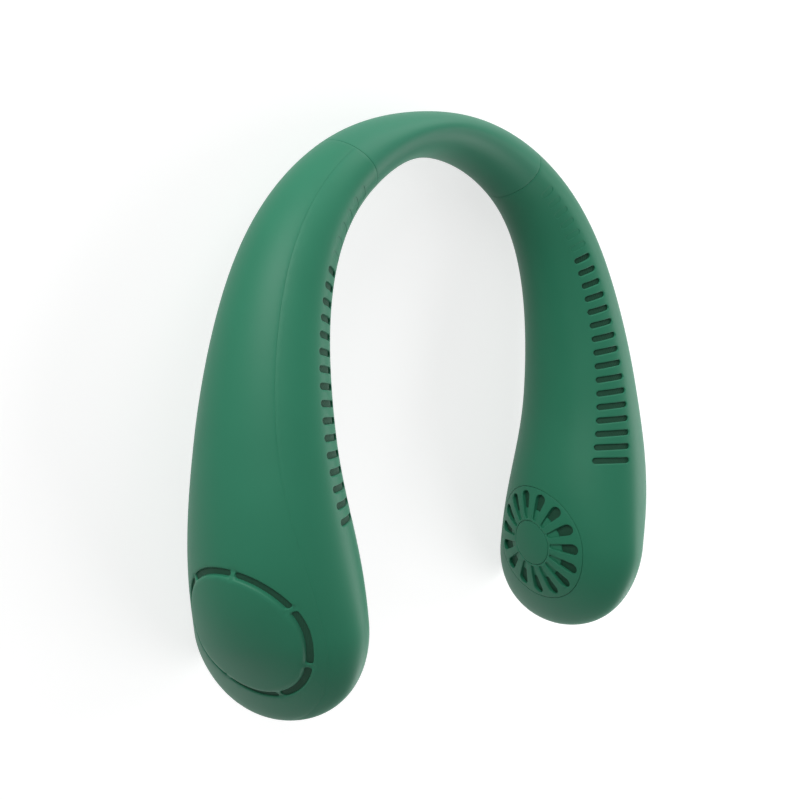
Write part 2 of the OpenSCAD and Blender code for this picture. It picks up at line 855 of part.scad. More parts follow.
module neck_plug(side) {
    tongue = spread(row_at(seam_station - tongue_length), row_at(seam_station + fit_gap), plug_rows);
    behind = spread(row_at(seam_station + fit_gap), row_at(seam_station + plug_length), plug_rows);
    bores = spread(seam_station - tongue_length - cut_overrun,
                   seam_station + plug_length + cut_overrun, bore_rows);
    color(dark_green)
        arm(side)
            difference() {
                solid_loft(concat([for (v = tongue) [v, sleeve_wall + plug_gap]],
                                  [for (v = behind) [v, wall + plug_gap]]));
                swept_bar(bores, spine_corners(plug_gap));
                swept_bar(bores, cable_corners(plug_gap));
            }
}

// Controls share the frame of the board, which stands on edge in the -X arm, clear of the cell
cell_start = cell_station - cell_length / 2 - cell_cap_height;
socket_station = min(socket_room, cell_start - board_cell_gap - fit_gap - socket_width / 2);
board_station = socket_station - board_spacing;
button_station = socket_station - button_spacing;
light_station = socket_station - light_spacing;
function edge_place(s) =
    let (f = axes(board_station),
         p = skin_point(row_at(s), 270) - centre(board_station))
    [-p * f[0], p * f[1], p * f[2]];
button_place = edge_place(button_station);
button_length = button_proud + wall + button_flange_depth + button_flange_thickness;
light_place = edge_place(light_station);
socket_place = edge_place(socket_station);
board_low = max(button_place.y - button_proud + button_length + button_travel + fit_gap,
                socket_place.y + board_edge_gap);

module in_board() in_section(board_station) children();

module control_holes() {
    in_board() {
        translate([button_place.x, button_place.y - cut_overrun, button_place.z])
            rotate([-90, 0, 0])
                cylinder(h = cut_overrun + wall * 2, r = button_radius + fit_gap, $fn = 20);
        translate([light_place.x, light_place.y - cut_overrun, light_place.z])
            rotate([-90, 0, 0])
                cylinder(h = cut_overrun + wall * 2, r = light_radius + fit_gap, $fn = 12);
        translate([socket_place.x, socket_place.y - cut_overrun, socket_place.z])
            rotate([-90, 0, 0])
                linear_extrude(cut_overrun + wall * 2)
                    rounded_slot(socket_width + 2 * fit_gap, socket_thickness + 2 * fit_gap);
    }
}

module rounded_slot(width, height) {
    square([width - height, height], center = true);
    for (end = [-1, 1])
        translate([end * (width - height) / 2, 0])
            circle(d = height, $fn = 16);
}

module control_board() {
    color(board_green)
        arm(-1)
            in_board()
                translate([socket_place.x - socket_width / 2 - fit_gap, board_low,
                           socket_place.z - socket_thickness / 2 - board_thickness])
                    cube([board_length, board_height, board_thickness]);
}

module charging_socket() {
    color(steel)
        arm(-1)
            in_board()
                translate([socket_place.x, socket_place.y + fit_gap, socket_place.z])
                    rotate([-90, 0, 0]) {
                        difference() {
                            linear_extrude(socket_depth)
                                rounded_slot(socket_width, socket_thickness);
                            translate([0, 0, -socket_wall])
                                linear_extrude(socket_depth)
                                    rounded_slot(socket_width - 2 * socket_wall,
                                                 socket_thickness - 2 * socket_wall);
                        }
                        translate([-tongue_width / 2, -tongue_thickness / 2, socket_wall])
                            cube([tongue_width, tongue_thickness, socket_depth - 2 * socket_wall]);
                    }
}

module power_button() {
    color(dark_green)
        arm(-1)
            in_board()
                translate([button_place.x, button_place.y - button_proud, button_place.z])
                    rotate([-90, 0, 0]) {
                        cylinder(h = button_length, r = button_radius);
                        translate([0, 0, button_length - button_flange_thickness])
                            cylinder(h = button_flange_thickness, r = button_radius + button_flange);
                    }
}

module power_switch() {
    top = button_place.y - button_proud + button_length + button_travel + switch_gap;
    color(black)
        arm(-1)
            in_board() {
                translate([button_place.x, top, button_place.z])
                    rotate([-90, 0, 0])
                        cylinder(h = plunger_length + switch_depth / 2, r = plunger_radius);
                translate([button_place.x - switch_width / 2, top + plunger_length,
                           socket_place.z - socket_thickness / 2])
                    cube([switch_width, switch_depth, socket_thickness]);
            }
}

module status_light() {
    color(clear_white)
        arm(-1)
            in_board()
                translate([light_place.x, light_place.y + fit_gap, light_place.z])
                    rotate([-90, 0, 0])
                        cylinder(h = board_low - light_place.y + light_radius, r = light_radius);
}

neck_sleeve();
neck_spine();
neck_cable();
outer_shell(1);  // left_outer_shell
inner_shell(1);  // left_inner_shell
inner_grille(1);  // left_inner_grille
grille_cap(1);  // left_grille_cap
neck_plug(1);  // left_neck_plug
air_duct(1);  // left_air_duct
fan_wheel(1);  // left_fan_wheel
rotor_cup(1);  // left_rotor_cup
magnet_ring(1);  // left_magnet_ring
motor_shaft(1);  // left_motor_shaft
motor_bearing(1);  // left_motor_bearing
stator(1);  // left_stator
motor_base(1);  // left_motor_base
motor_screws(1);  // left_motor_screws
battery_cell(1);  // left_battery_cell
outer_shell(-1);  // right_outer_shell
inner_shell(-1);  // right_inner_shell
inner_grille(-1);  // right_inner_grille
grille_cap(-1);  // right_grille_cap
neck_plug(-1);  // right_neck_plug
air_duct(-1);  // right_air_duct
fan_wheel(-1);  // right_fan_wheel
rotor_cup(-1);  // right_rotor_cup
magnet_ring(-1);  // right_magnet_ring
motor_shaft(-1);  // right_motor_shaft
motor_bearing(-1);  // right_motor_bearing
stator(-1);  // right_stator
motor_base(-1);  // right_motor_base
motor_screws(-1);  // right_motor_screws
battery_cell(-1);  // right_battery_cell
control_board();
power_switch();
power_button();
charging_socket();
status_light();
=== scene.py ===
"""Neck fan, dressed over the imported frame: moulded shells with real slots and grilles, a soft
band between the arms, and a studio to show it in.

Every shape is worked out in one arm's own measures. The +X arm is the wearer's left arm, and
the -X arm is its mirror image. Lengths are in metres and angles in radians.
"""

import json
import math

import bpy
import numpy as np
from bpy.props import FloatProperty, FloatVectorProperty, IntProperty, PointerProperty
from mathutils import Matrix, Vector
from mathutils.geometry import delaunay_2d_cdt


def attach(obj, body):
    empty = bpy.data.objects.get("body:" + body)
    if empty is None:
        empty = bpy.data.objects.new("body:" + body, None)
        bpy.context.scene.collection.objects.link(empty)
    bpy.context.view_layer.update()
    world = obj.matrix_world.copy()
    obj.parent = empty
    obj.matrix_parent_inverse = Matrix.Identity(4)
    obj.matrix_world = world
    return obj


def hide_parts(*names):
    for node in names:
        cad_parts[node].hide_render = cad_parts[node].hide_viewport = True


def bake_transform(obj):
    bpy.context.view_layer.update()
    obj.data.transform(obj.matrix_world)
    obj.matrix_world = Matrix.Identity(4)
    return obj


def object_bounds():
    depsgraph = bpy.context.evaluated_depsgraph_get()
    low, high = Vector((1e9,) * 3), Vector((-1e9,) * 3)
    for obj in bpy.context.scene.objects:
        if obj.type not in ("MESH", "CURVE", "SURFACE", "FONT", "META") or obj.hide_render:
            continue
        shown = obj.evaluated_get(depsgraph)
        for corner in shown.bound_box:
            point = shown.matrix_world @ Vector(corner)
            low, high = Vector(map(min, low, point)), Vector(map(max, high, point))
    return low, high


bl_info = {
    "name": "Neck Fan",
    "version": (1, 0, 0),
    "blender": (4, 5, 0),
    "location": "3D View > Sidebar > Neck Fan",
    "description": "Builds the moulded shells, grilles, soft band and studio of a neck fan",
    "category": "Add Mesh",
}

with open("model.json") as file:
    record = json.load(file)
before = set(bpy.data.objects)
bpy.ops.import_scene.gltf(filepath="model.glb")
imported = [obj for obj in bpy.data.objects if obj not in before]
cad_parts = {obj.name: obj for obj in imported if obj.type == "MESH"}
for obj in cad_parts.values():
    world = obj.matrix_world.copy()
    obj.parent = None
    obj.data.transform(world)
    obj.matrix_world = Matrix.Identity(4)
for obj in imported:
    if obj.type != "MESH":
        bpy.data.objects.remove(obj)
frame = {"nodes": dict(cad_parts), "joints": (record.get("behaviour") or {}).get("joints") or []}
CAD_BOX = [list(corner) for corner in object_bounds()]
BACK = np.array(
    next(j for j in frame["joints"] if j["name"] == "neck_flex")["pos_m"], float
)
SIDES = {"left": 1, "right": -1}
TURN = 2 * math.pi

# Shape of an arm at six even stations from the back to the tip
TURN_ANGLES = np.radians([0, 34, 70, 87, 98, 87])
TILT_ANGLES = np.radians([-15.6, -3.8, 4.1, 8.2, 8.6, 5.1])
THICKNESS_SHARES = np.array([0, 0.21, 0.49, 0.76, 1, 0.14])
HEIGHT_SHARES = np.array([0, 0.02, 0.25, 0.6, 1, 1.42])
PARTING_SHARES = np.array([0, 0, 0, 0.1, 1, 0.6])
SECTION_POWER = 1.84
SECTION_SOFTNESS = 0.12

# Steps of the search for a place on the skin, and the miss that is let pass
SEARCH_STEPS, SEARCH_MISS = 30, 2e-5
# How near to a section's top a first guess may lie
STEEPEST = 0.97
# Points that agree to a tenth of a micron are joined, and steeper edges than this stay sharp
JOIN_SCALE, SHARP_ANGLE = 1e7, math.radians(50)
# Room that a grid point keeps from guide points and from outlines, in steps of the grid
GUIDE_ROOM, EDGE_ROOM = 0.6, 0.45

# Points along a shell's sides, round its tip and across its end
SIDE_POINTS, TIP_POINTS, END_POINTS = 150, 34, 60
# Length of the rounded tip on the flat map of the skin, and the map's half width a radian
TIP_ON_MAP, MAP_REACH = 0.041, 0.033
# How much wider the points lie on the inside of a wall
INSIDE_COARSER = 1.5
# Rounding of a shallow slot, as a share of its depth
BLIND_ROUND = 0.8
# Flat ring left round an inlet arc, and round the mouth of a control
BRIDGE_LAND, MOUTH_LAND = 0.00015, 0.0003
# Distances from the arcs of the circles where the relief bends
GUIDE_NEAR, GUIDE_FAR = 0.0011, 0.0018
# Rough radius of the arm's lower edge at the controls
EDGE_CURVE = 0.012
# Angle by which the dark strip of painted shade reaches past the ends of the air slots
MESH_SPREAD = math.radians(2)
# Spacing of the points on the grille and its cap
PLATE_STEP = 0.0009
# Points round the cap and round its seat
CAP_POINTS = 96
# Rounding of the teardrops and the cap, and the shares of the first that the cap's seat and the
# grille's own edge have
PETAL_ROUND, CAP_ROUND, CAP_SEAT_ROUND, GRILLE_BRIM = 0.00025, 0.00008, 0.3, 0.4
# How the floor of the openings falls away from the cap
SLOPE_POWER = 1.4
# Rings of points along the band, on its skin and inside it
OUTER_RINGS, INNER_RINGS = 88, 50
# Where the strip and the cable end, and a distance inside the seams
CORE_REACH, BEND_INSET = 0.04945, 0.006
STRIP_THICKNESS, STRIP_HEIGHT, STRIP_DROP = 0.0006, 0.008, 0.0016
CABLE_RADIUS, CABLE_RISE = 0.0012, 0.0052

# The point before the band that the camera looks at, and its shift along the camera's axes
CAMERA_TARGET, CAMERA_SHIFT = (0, -0.1, 0), (-0.00295, 0.01369)
# Directions of the soft lamps from the middle of the fan
LAMPS = {
    "key": (-0.7, 0.7, 0.25), "back": (0.4, 1, 0.15), "side": (1, 0, 0.5), "rim": (0.8, -0.8, 0.5),
}
LAMP_SIZE, LAMP_DISTANCE = 0.5, 0.75
FLOOR_RADIUS = 3
# Distances from the fan between which the floor's glow rises to full white
GLOW_START, GLOW_END = 0.25, 1.0


# Sizes and finishes


def length(name, description, default):
    return FloatProperty(
        name=name, description=description, default=default, unit="LENGTH", precision=5
    )


def angle(name, description, degrees):
    return FloatProperty(
        name=name, description=description, default=math.radians(degrees), subtype="ANGLE"
    )


def colour(name, description, default):
    return FloatVectorProperty(
        name=name, description=description, default=default, size=3, subtype="COLOR",
        min=0, max=1,
    )


def fraction(name, description, default):
    return FloatProperty(
        name=name, description=description, default=default, min=0, max=1, subtype="FACTOR"
    )


def number(name, description, default, low):
    return IntProperty(name=name, description=description, default=default, min=low)


def amount(name, description, default, unit="NONE"):
    return FloatProperty(name=name, description=description, default=default, unit=unit)


class ArmForm(bpy.types.PropertyGroup):
    """The outer form that both arms and the band share."""

    arm_length: length("Arm length", "Centre line from the middle of the back to the tip", 0.214)
    tip_round: length("Tip round", "Length over which the tip is rounded off", 0.030)
    fan_rise: length("Fan rise", "Rise of the centre line from the back to the tip", 0.019)
    section_lean: angle("Section lean", "Lean of the sections back towards the neck", 12)
    back_thickness: length("Back thickness", "Thickness of the band", 0.014)
    back_height: length("Back height", "Height of the band", 0.0256)
    bulb_thickness: length("Bulb thickness", "Thickness four fifths along an arm", 0.0448)
    bulb_height: length("Bulb height", "Height four fifths along an arm", 0.0584)
    wall: length("Wall", "Wall of the plastic shells", 0.0018)
    parting_angle: angle("Parting angle", "Section angle where the shells meet", 44)
    parting_opening: angle("Parting opening", "How much it opens round the cover", 15)
    seam_station: length("Seam station", "Where the soft band ends", 0.0406)
    fit_gap: length("Fit gap", "Gap between neighbouring pieces", 0.00015)
    edge_round: length("Edge round", "Rounding of slots and openings", 0.00035)
    parting_round: length("Parting round", "Rounding of a shell's own edges", 0.00005)
    band_round: length("Band round", "Rounding of the band's ends", 0.0001)
    seam_gap: length("Seam gap", "Gap between the band and a shell", 0.0001)
    sleeve_wall: length("Sleeve wall", "Wall of the soft band", 0.0024)
    board_station: length("Board station", "Arc length to the middle of the controls", 0.073)
    mesh_step: length("Mesh step", "Spacing of the points on the skin", 0.0012)


class SlotForm(bpy.types.PropertyGroup):
    """The row of air slots along an arm's crest."""

    count: number("Slots", "Open air slots on an arm", 16, 1)
    blind: number("Blind slots", "Shallow slots before them", 6, 0)
    pitch: length("Pitch", "Spacing of the slots along the arm", 0.00494)
    first: length("First slot", "Station of the first open slot", 0.0788)
    width: length("Width", "Width of a slot", 0.002)
    blind_depth: length("Blind depth", "Depth of a shallow slot", 0.0001)
    outer_first: angle("Outer end, first", "Section angle of the first slot's outer end", 93.9)
    outer_last: angle("Outer end, last", "Section angle of the last slot's outer end", 94.2)
    inner_first: angle("Inner end, first", "Section angle of the first slot's inner end", 119.2)
    inner_last: angle("Inner end, last", "Section angle of the last slot's inner end", 128.1)
    dip: angle("Dip", "How far the row bends outwards half-way", 6)


class GrilleForm(bpy.types.PropertyGroup):
    """The round inner grille, its cap and the inlet arcs of the outer cover."""

    fan_station: length("Fan station", "Arc length to the fan's axis", 0.1824)
    radius: length("Grille radius", "Outer radius of the grille", 0.020)
    thickness: length("Grille thickness", "Depth of the openings", 0.002)
    seat_depth: length("Seat depth", "Thickness of the grille's rim", 0.0011)
    ledge: length("Ledge", "Width of the ledge that the rim sits on", 0.0014)
    petals: number("Openings", "Teardrop openings", 15, 3)
    petal_wide: length("Wide end", "Radius of a teardrop's outer end", 0.0019)
    petal_narrow: length("Narrow end", "Radius of a teardrop's inner end", 0.0008)
    petal_inset: length("Petal inset", "Rim left outside the openings", 0.0014)
    hub_rim: length("Hub rim", "Ring left between cap and openings", 0.0015)
    hub_radius: length("Hub radius", "Radius of the floor behind the openings", 0.0124)
    hub_drop: length("Hub drop", "Thickness of the hub below the openings", 0.0006)
    cap_radius: length("Cap radius", "Radius of the cap", 0.0078)
    cap_thickness: length("Cap thickness", "Thickness of the cap", 0.0005)
    floor_depth: length("Floor depth", "Depth of the openings' floor at the hub's rim", 0.001)
    # The strips in the arcs and in the slots are dark sheets of painted shade
    mesh_depth: length("Mesh depth", "From the skin down to the dust mesh in the arcs", 0.0007)
    mesh_sink: length("Mesh sink", "From the skin down to the dust mesh in the grille", 0.0014)
    mesh_thickness: length("Mesh thickness", "Thickness of the dust meshes", 0.00015)
    mesh_lap: length("Mesh lap", "How far a dust mesh reaches under the edges", 0.0003)


class CoverForm(bpy.types.PropertyGroup):
    """The round outer cover and the ring of inlet arcs about it."""

    radius: length("Cover radius", "Outer radius of the inlet arcs", 0.0214)
    along: length("Cover along", "Middle of the ring from the fan's axis, towards the band", 0.0016)
    above: length("Cover above", "Middle of the ring from the fan's axis, towards the crest",
                  0.0019)
    arc_width: length("Arc width", "Width of an inlet arc", 0.0018)
    arcs: number("Arcs", "Inlet arcs round the cover", 7, 2)
    bridge: angle("Bridge", "Angle of the bridge between two arcs", 9)
    bridge_turn: angle("Bridge turn", "Angle of the first bridge from the band's direction", 17)
    rise: length("Cover rise", "How far the cover stands out of the shell", 0.0008)
    brim: length("Cover brim", "Width of the cover's rounded edge", 0.0012)
    fall: length("Cover fall", "How far the rounded edge falls", 0.0008)
    bridge_drop: length("Bridge drop", "Depth of the bridges below the shell", 0.00045)


class ControlForm(bpy.types.PropertyGroup):
    """The push button and the mouths of the controls."""

    button_radius: length("Button radius", "Radius of the push button", 0.003)
    button_round: length("Button round", "Rounding of the button's edge", 0.0004)
    button_dish: length("Button dish", "Depth of the hollow in its top", 0.0002)
    flange_thickness: length("Flange thickness", "Thickness of its flange", 0.0006)
    mouth_round: length("Mouth round", "Rounding of the holes for the controls", 0.0002)


class FinishSet(bpy.types.PropertyGroup):
    """Colours and gloss of the fan's materials."""

    shell: colour("Shell", "Moulded shells", (0.024, 0.185, 0.104))
    band: colour("Band", "Soft silicone band", (0.030, 0.192, 0.114))
    wheel: colour("Wheel", "Fan wheel, duct and button", (0.012, 0.070, 0.040))
    # Colour of the grille's dust mesh, and of the dark strips of painted shade in the arcs and
    # slots
    mesh: colour("Mesh", "Dust meshes", (0.014, 0.080, 0.044))
    shell_rough: fraction("Shell roughness", "Roughness of the shells", 0.48)
    band_rough: fraction("Band roughness", "Roughness of the band", 0.5)


class StudioSet(bpy.types.PropertyGroup):
    """Camera, lamps and floor."""

    lens: amount("Lens", "Focal length on a 36 mm sensor", 65.74, "CAMERA")
    azimuth: angle("Azimuth", "Direction of the camera round the crest", 43.78)
    elevation: angle("Elevation", "Height of the camera towards the band", 11.88)
    roll: angle("Roll", "Turn of the camera about its own line", 3.90)
    distance: length("Distance", "From the camera to the point it looks at", 0.48272)
    key: amount("Key", "Lamp beyond the band on the near side", 4.4, "POWER")
    back: amount("Back", "Lamp beyond the band on the far side", 2.4, "POWER")
    side: amount("Side", "Lamp on the far side", 1.8, "POWER")
    rim: amount("Rim", "Lamp before the far tip", 3.2, "POWER")
    sky: amount("Sky", "Strength of the even light all round", 0.15)
    floor: colour("Floor", "Colour of the floor", (0.5, 0.5, 0.5))
    floor_glow: amount("Floor glow", "Lifts the seen floor to white", 0.7)


# The arm as a surface


def curve(values, at, parity=1.0):
    """Smooth curve through evenly spaced values, at shares from 0 to 1: a cubic between each two,
    whose slope at a value is half the step between its neighbours. The value before the first
    mirrors the second, with its sign turned where parity is -1."""
    last = len(values) - 1
    t = np.clip(at, 0, 1) * last
    i = np.minimum(np.floor(t).astype(int), last - 1)
    f = t - i
    ends = np.concatenate([[parity * values[1]], values, [2 * values[-1] - values[-2]]])
    before, p, q, after = (ends[i + k] for k in range(4))
    return p + f / 2 * (
        q - before + f * (2 * before - 5 * p + 4 * q - after + f * (3 * (p - q) + after - before))
    )


class Arm:
    """One arm as a function of the station along it, the angle round the section and the depth
    below the skin. Angle 0 faces outwards, a quarter turn is the crest, and half a turn faces
    the neck."""

    def __init__(self, form):
        self.form = form
        steps = 2000
        step = form.arm_length / steps
        turn = curve(TURN_ANGLES, (np.arange(steps) + 0.5) / steps, -1.0)
        self.at = np.linspace(0, form.arm_length, steps + 1)
        self.x = np.concatenate([[0], np.cumsum(np.cos(turn)) * step])
        self.y = -np.concatenate([[0], np.cumsum(np.sin(turn)) * step])
        self.straight = form.arm_length - form.tip_round

    def centre(self, s):
        """The centre line: the turning direction added up in equal steps, rising as a squared
        sine."""
        rise = self.form.fan_rise * np.sin(np.pi / 2 * s / self.form.arm_length) ** 2
        return np.stack([np.interp(s, self.at, self.x), np.interp(s, self.at, self.y), rise], -1)

    def axes(self, s):
        """Unit axes of a section: along the arm, to its upper edge, and out of its outer face. The
        section leans back as the sine of the turn, and tilts by the curve of tilt angles."""
        at = np.asarray(s, float) / self.form.arm_length
        turn = curve(TURN_ANGLES, at, -1.0)
        lean = self.form.section_lean * np.sin(turn)
        tilt = curve(TILT_ANGLES, at)
        zero = np.zeros_like(turn)
        z = np.stack([zero, zero, zero + 1], -1)
        along = np.stack([np.cos(turn), -np.sin(turn), zero], -1)
        out = np.stack([np.sin(turn), np.cos(turn), zero], -1)
        lean, tilt = lean[..., None], tilt[..., None]
        up = np.cos(lean) * z - np.sin(lean) * along
        run = np.cos(lean) * along + np.sin(lean) * z
        return run, np.cos(tilt) * up - np.sin(tilt) * out, np.cos(tilt) * out + np.sin(tilt) * up

    def half_sizes(self, s):
        """Half the thickness and half the height: the band's, plus a share, on the curve of
        shares, of what the bulb has more."""
        form, at = self.form, np.asarray(s, float) / self.form.arm_length
        thick = form.back_thickness + (form.bulb_thickness - form.back_thickness) * curve(
            THICKNESS_SHARES, at)
        high = form.back_height + (form.bulb_height - form.back_height) * curve(HEIGHT_SHARES, at)
        return thick / 2, high / 2

    def parting(self, s):
        """The section angle where the shells meet, opened by its own curve of shares."""
        form = self.form
        return form.parting_angle + form.parting_opening * curve(
            PARTING_SHARES, np.asarray(s, float) / form.arm_length)

    def half_turn(self, middle, s):
        """Half the angle that the outer shell takes up, or the inner one."""
        return self.parting(s) if middle == 0 else np.pi - self.parting(s)

    def closing(self, s):
        """How far the tip's rounding leaves a section open: a quarter circle over its length."""
        into = np.clip((s - self.straight) / self.form.tip_round, 0, 1)
        return into, np.sqrt(1 - into**2)

    def section(self, s, turn, inset=0.0):
        """A rounded section in [up, out] measures: each is a half size times a signed power of
        the angle's sine or cosine, which is eased near zero."""
        into, closing = self.closing(s)
        station = np.minimum(s, self.straight) + (self.form.tip_round - inset) * into
        thick, high = self.half_sizes(station)
        power = 2 / SECTION_POWER - 1
        ease = SECTION_SOFTNESS**2

        def signed(c):
            return c * ((c**2 + ease) / (1 + ease)) ** (power / 2)

        return (station, closing * (high - inset) * signed(np.sin(turn)),
                closing * (thick - inset) * signed(np.cos(turn)))

    def skin(self, s, turn, inset=0.0):
        """Centre line plus the section's two measures along its axes."""
        s, turn, inset = np.broadcast_arrays(*(np.asarray(a, float) for a in (s, turn, inset)))
        station, up, out = self.section(s, turn, inset)
        _, edge, face = self.axes(station)
        return self.centre(station) + up[..., None] * edge + out[..., None] * face

    def seen(self, plane, s, turn, inset):
        """Places of the skin as seen square to a plane, given as an origin and two unit axes."""
        origin, first, second = plane
        away = self.skin(s, turn, inset) - origin
        return np.stack([(away * first).sum(-1), (away * second).sum(-1)], -1)

    def find(self, plane, places, s, turn, inset):
        """Stations and angles at which the skin lies over the places: steps down what is missed,
        in both at once, with the slopes taken over a short way."""
        s, turn = np.array(s, float), np.array(turn, float)
        ds, dt = 1e-5, 1e-3
        longest = (4e-3, 0.2)
        for _ in range(SEARCH_STEPS):
            here = self.seen(plane, s, turn, inset)
            a = (self.seen(plane, s + ds, turn, inset) - here) / ds
            b = (self.seen(plane, s, turn + dt, inset) - here) / dt
            miss = places - here
            det = a[..., 0] * b[..., 1] - a[..., 1] * b[..., 0]
            det = np.where(np.abs(det) < 1e-6, 1e-6, det)
            along = (miss[..., 0] * b[..., 1] - miss[..., 1] * b[..., 0]) / det
            round_it = (a[..., 0] * miss[..., 1] - a[..., 1] * miss[..., 0]) / det
            s = s + np.clip(along, -longest[0], longest[0])
            turn = turn + np.clip(round_it, -longest[1], longest[1])
            s = np.clip(s, 0, self.form.arm_length - 1e-4)
        if np.abs(places - self.seen(plane, s, turn, inset)).max() > SEARCH_MISS:
            raise RuntimeError("an outline doesn't lie on the skin")
        return s, turn

    def fan_plane(self, grille):
        """The plane square to the fan's axis: x towards the band, y to the upper edge."""
        run, edge, face = self.axes(grille.fan_station)
        return (self.centre(np.asarray(grille.fan_station)), -run, edge), face

    def over_fan(self, grille, places, inset, inner):
        """The skin over places of the fan's plane, on the outer face or the inner one."""
        plane, _ = self.fan_plane(grille)
        s = np.clip(grille.fan_station - places[..., 0], 0, self.form.arm_length - 5e-4)
        _, closing = self.closing(s)
        _, high = self.half_sizes(s)
        rise = np.clip(places[..., 1] / (high * closing), -STEEPEST, STEEPEST)
        turn = np.arcsin(np.sign(rise) * np.abs(rise) ** (SECTION_POWER / 2))
        return self.find(plane, places, s, np.pi - turn if inner else turn, inset)


# Outlines


def drop(start, end, near, far, arc=7, sides=12):
    """Outline of two circles, of radius near and far, with their common tangents. It runs from
    the far tip along one side to the near tip and back along the other."""
    start, end = np.asarray(start, float), np.asarray(end, float)
    apart = np.linalg.norm(end - start)
    line = (end - start) / apart
    slope = np.arcsin((far - near) / apart)
    t = np.linspace(0, np.pi / 2 + slope, arc)
    round_far = np.stack([apart + far * np.cos(t), far * np.sin(t)], -1)
    t = np.linspace(np.pi / 2 + slope, np.pi, arc)
    round_near = near * np.stack([np.cos(t), np.sin(t)], -1)
    along = np.linspace(0, 1, sides)[1:-1, None]
    tangent = round_far[-1] + along * (round_near[0] - round_far[-1])
    side = np.concatenate([round_far, tangent, round_near])
    places = np.concatenate([side[:-1], (side * [1, -1])[:0:-1]])
    return start + places[:, :1] * line + places[:, 1:] * np.array([-line[1], line[0]])


def bow(radius, first, last, half, arc=10):
    """Outline at one distance all round an arc about the origin, with round ends."""
    def ray(t):
        return np.stack([np.cos(t), np.sin(t)], -1)

    t = np.linspace(first, last, 25)
    outer = (radius + half) * ray(t)
    inner = (radius - half) * ray(t[::-1])
    cap = np.linspace(0, np.pi, arc + 1)[1:-1]
    end = radius * ray(last) + half * ray(last + cap)
    start = radius * ray(first) + half * ray(first + np.pi + cap)
    return np.concatenate([outer, end, inner, start])


def disc(radius, count=128):
    """Places evenly round a circle."""
    t = np.arange(count) * TURN / count
    return radius * np.stack([np.cos(t), np.sin(t)], -1)


def rounding(radius, steps=4):
    """Quarter circle from the skin into a wall, as pairs of offset and depth."""
    t = np.linspace(0, np.pi / 2, steps + 1)
    return list(zip(radius * (1 - np.sin(t)), radius * (1 - np.cos(t))))


# Meshes


class MeshParts:
    """Gathers points and triangles for one mesh."""

    def __init__(self):
        self.points, self.faces, self.count = [], [], 0

    def add(self, points):
        self.points.append(np.asarray(points, float).reshape(-1, 3))
        first = self.count
        self.count += len(self.points[-1])
        return first + np.arange(len(self.points[-1]))

    def quads(self, a, b, closed=True, flip=False):
        """Strip between two rows of as many points, and round to the start where it is closed."""
        an, bn = np.roll(a, -1), np.roll(b, -1)
        if not closed:
            a, an, b, bn = a[:-1], an[:-1], b[:-1], bn[:-1]
        made = np.concatenate([np.stack([a, an, bn], 1), np.stack([a, bn, b], 1)])
        self.faces.append(made[:, ::-1] if flip else made)

    def triangles(self, faces, flip=False):
        faces = np.asarray(faces, int)
        self.faces.append(faces[:, ::-1] if flip else faces)

    def grid(self, points, close_rows=False, close_columns=False, flip=False):
        """A grid of points, rows by columns, as strips between its rows."""
        rows, columns = points.shape[:2]
        index = self.add(points).reshape(rows, columns)
        for i in range(rows if close_rows else rows - 1):
            self.quads(index[i], index[(i + 1) % rows], close_columns, flip)
        return index

    def sheet(self, outlines, grid, step, lay, flip, guides=np.zeros((0, 2))):
        """Triangles between the first outline and the others, laid out in space. Returns the row
        of points along each outline."""
        points, faces = triangulate(outlines[0], outlines[1:], grid, step, guides)
        index = self.add(lay(points))
        self.triangles(index[faces], flip)
        return np.split(index, np.cumsum([len(outline) for outline in outlines]))[:-1]

    def wall(self, row, rings, last=None, flip=False):
        """Joins a row of points to the last one through rings of new points. Without a last row,
        strips between the two like sides of the final ring close it as a floor."""
        for points in rings:
            ring = self.add(points)
            self.quads(row, ring, flip=flip)
            row = ring
        if last is None:
            half = len(row) // 2
            side = np.concatenate([row[:1], row[:half - 1:-1]])
            self.quads(row[:half + 1], side, closed=False)
        else:
            self.quads(row, last, flip=flip)

    def build(self, name, side=1):
        """The gathered mesh as an object at the origin, with points that coincide joined. A
        mirrored side turns its faces over."""
        points = np.concatenate(self.points) * [side, 1, 1] + BACK
        _, first, same = np.unique(np.round(points * JOIN_SCALE).astype(np.int64), axis=0,
                                   return_index=True, return_inverse=True)
        points, faces = points[first], same.ravel()[np.concatenate(self.faces)]
        faces = faces[(faces != np.roll(faces, 1, 1)).all(1)]
        if side < 0:
            faces = faces[:, ::-1]
        mesh = bpy.data.meshes.new(name)
        mesh.from_pydata(points, [], faces)
        mesh.validate()
        mesh.shade_smooth()
        mesh.set_sharp_from_angle(angle=SHARP_ANGLE)
        return put(name, mesh)


def put(name, data):
    """A new object in the scene for a mesh, a lamp or a camera."""
    made = bpy.data.objects.new(name, data)
    bpy.context.scene.collection.objects.link(made)
    return made


def within(points, loop, step):
    """Which points lie inside a loop. Only those near it are counted out."""
    near = (np.abs(points - loop.mean(0)) < np.ptp(loop, 0) / 2 + step).all(1)
    near[near] = inside(points[near], loop)
    return near


def inside(points, loop):
    """Which points lie inside a closed loop, by counting the sides that a ray crosses."""
    x, y = points[:, 0][:, None], points[:, 1][:, None]
    x1, y1 = loop[:, 0], loop[:, 1]
    x2, y2 = np.roll(x1, -1), np.roll(y1, -1)
    crosses = (y1 > y) != (y2 > y)
    with np.errstate(divide="ignore", invalid="ignore"):
        at = x1 + (y - y1) / (y2 - y1) * (x2 - x1)
    return (crosses & (x < at)).sum(1) % 2 == 1


def distance_to(points, others):
    """Distance from each point to the nearest of the others."""
    nearest = np.full(len(points), np.inf)
    for part in np.array_split(others, max(1, len(others) // 200)):
        nearest = np.minimum(nearest, np.linalg.norm(points[:, None] - part, axis=2).min(1))
    return nearest


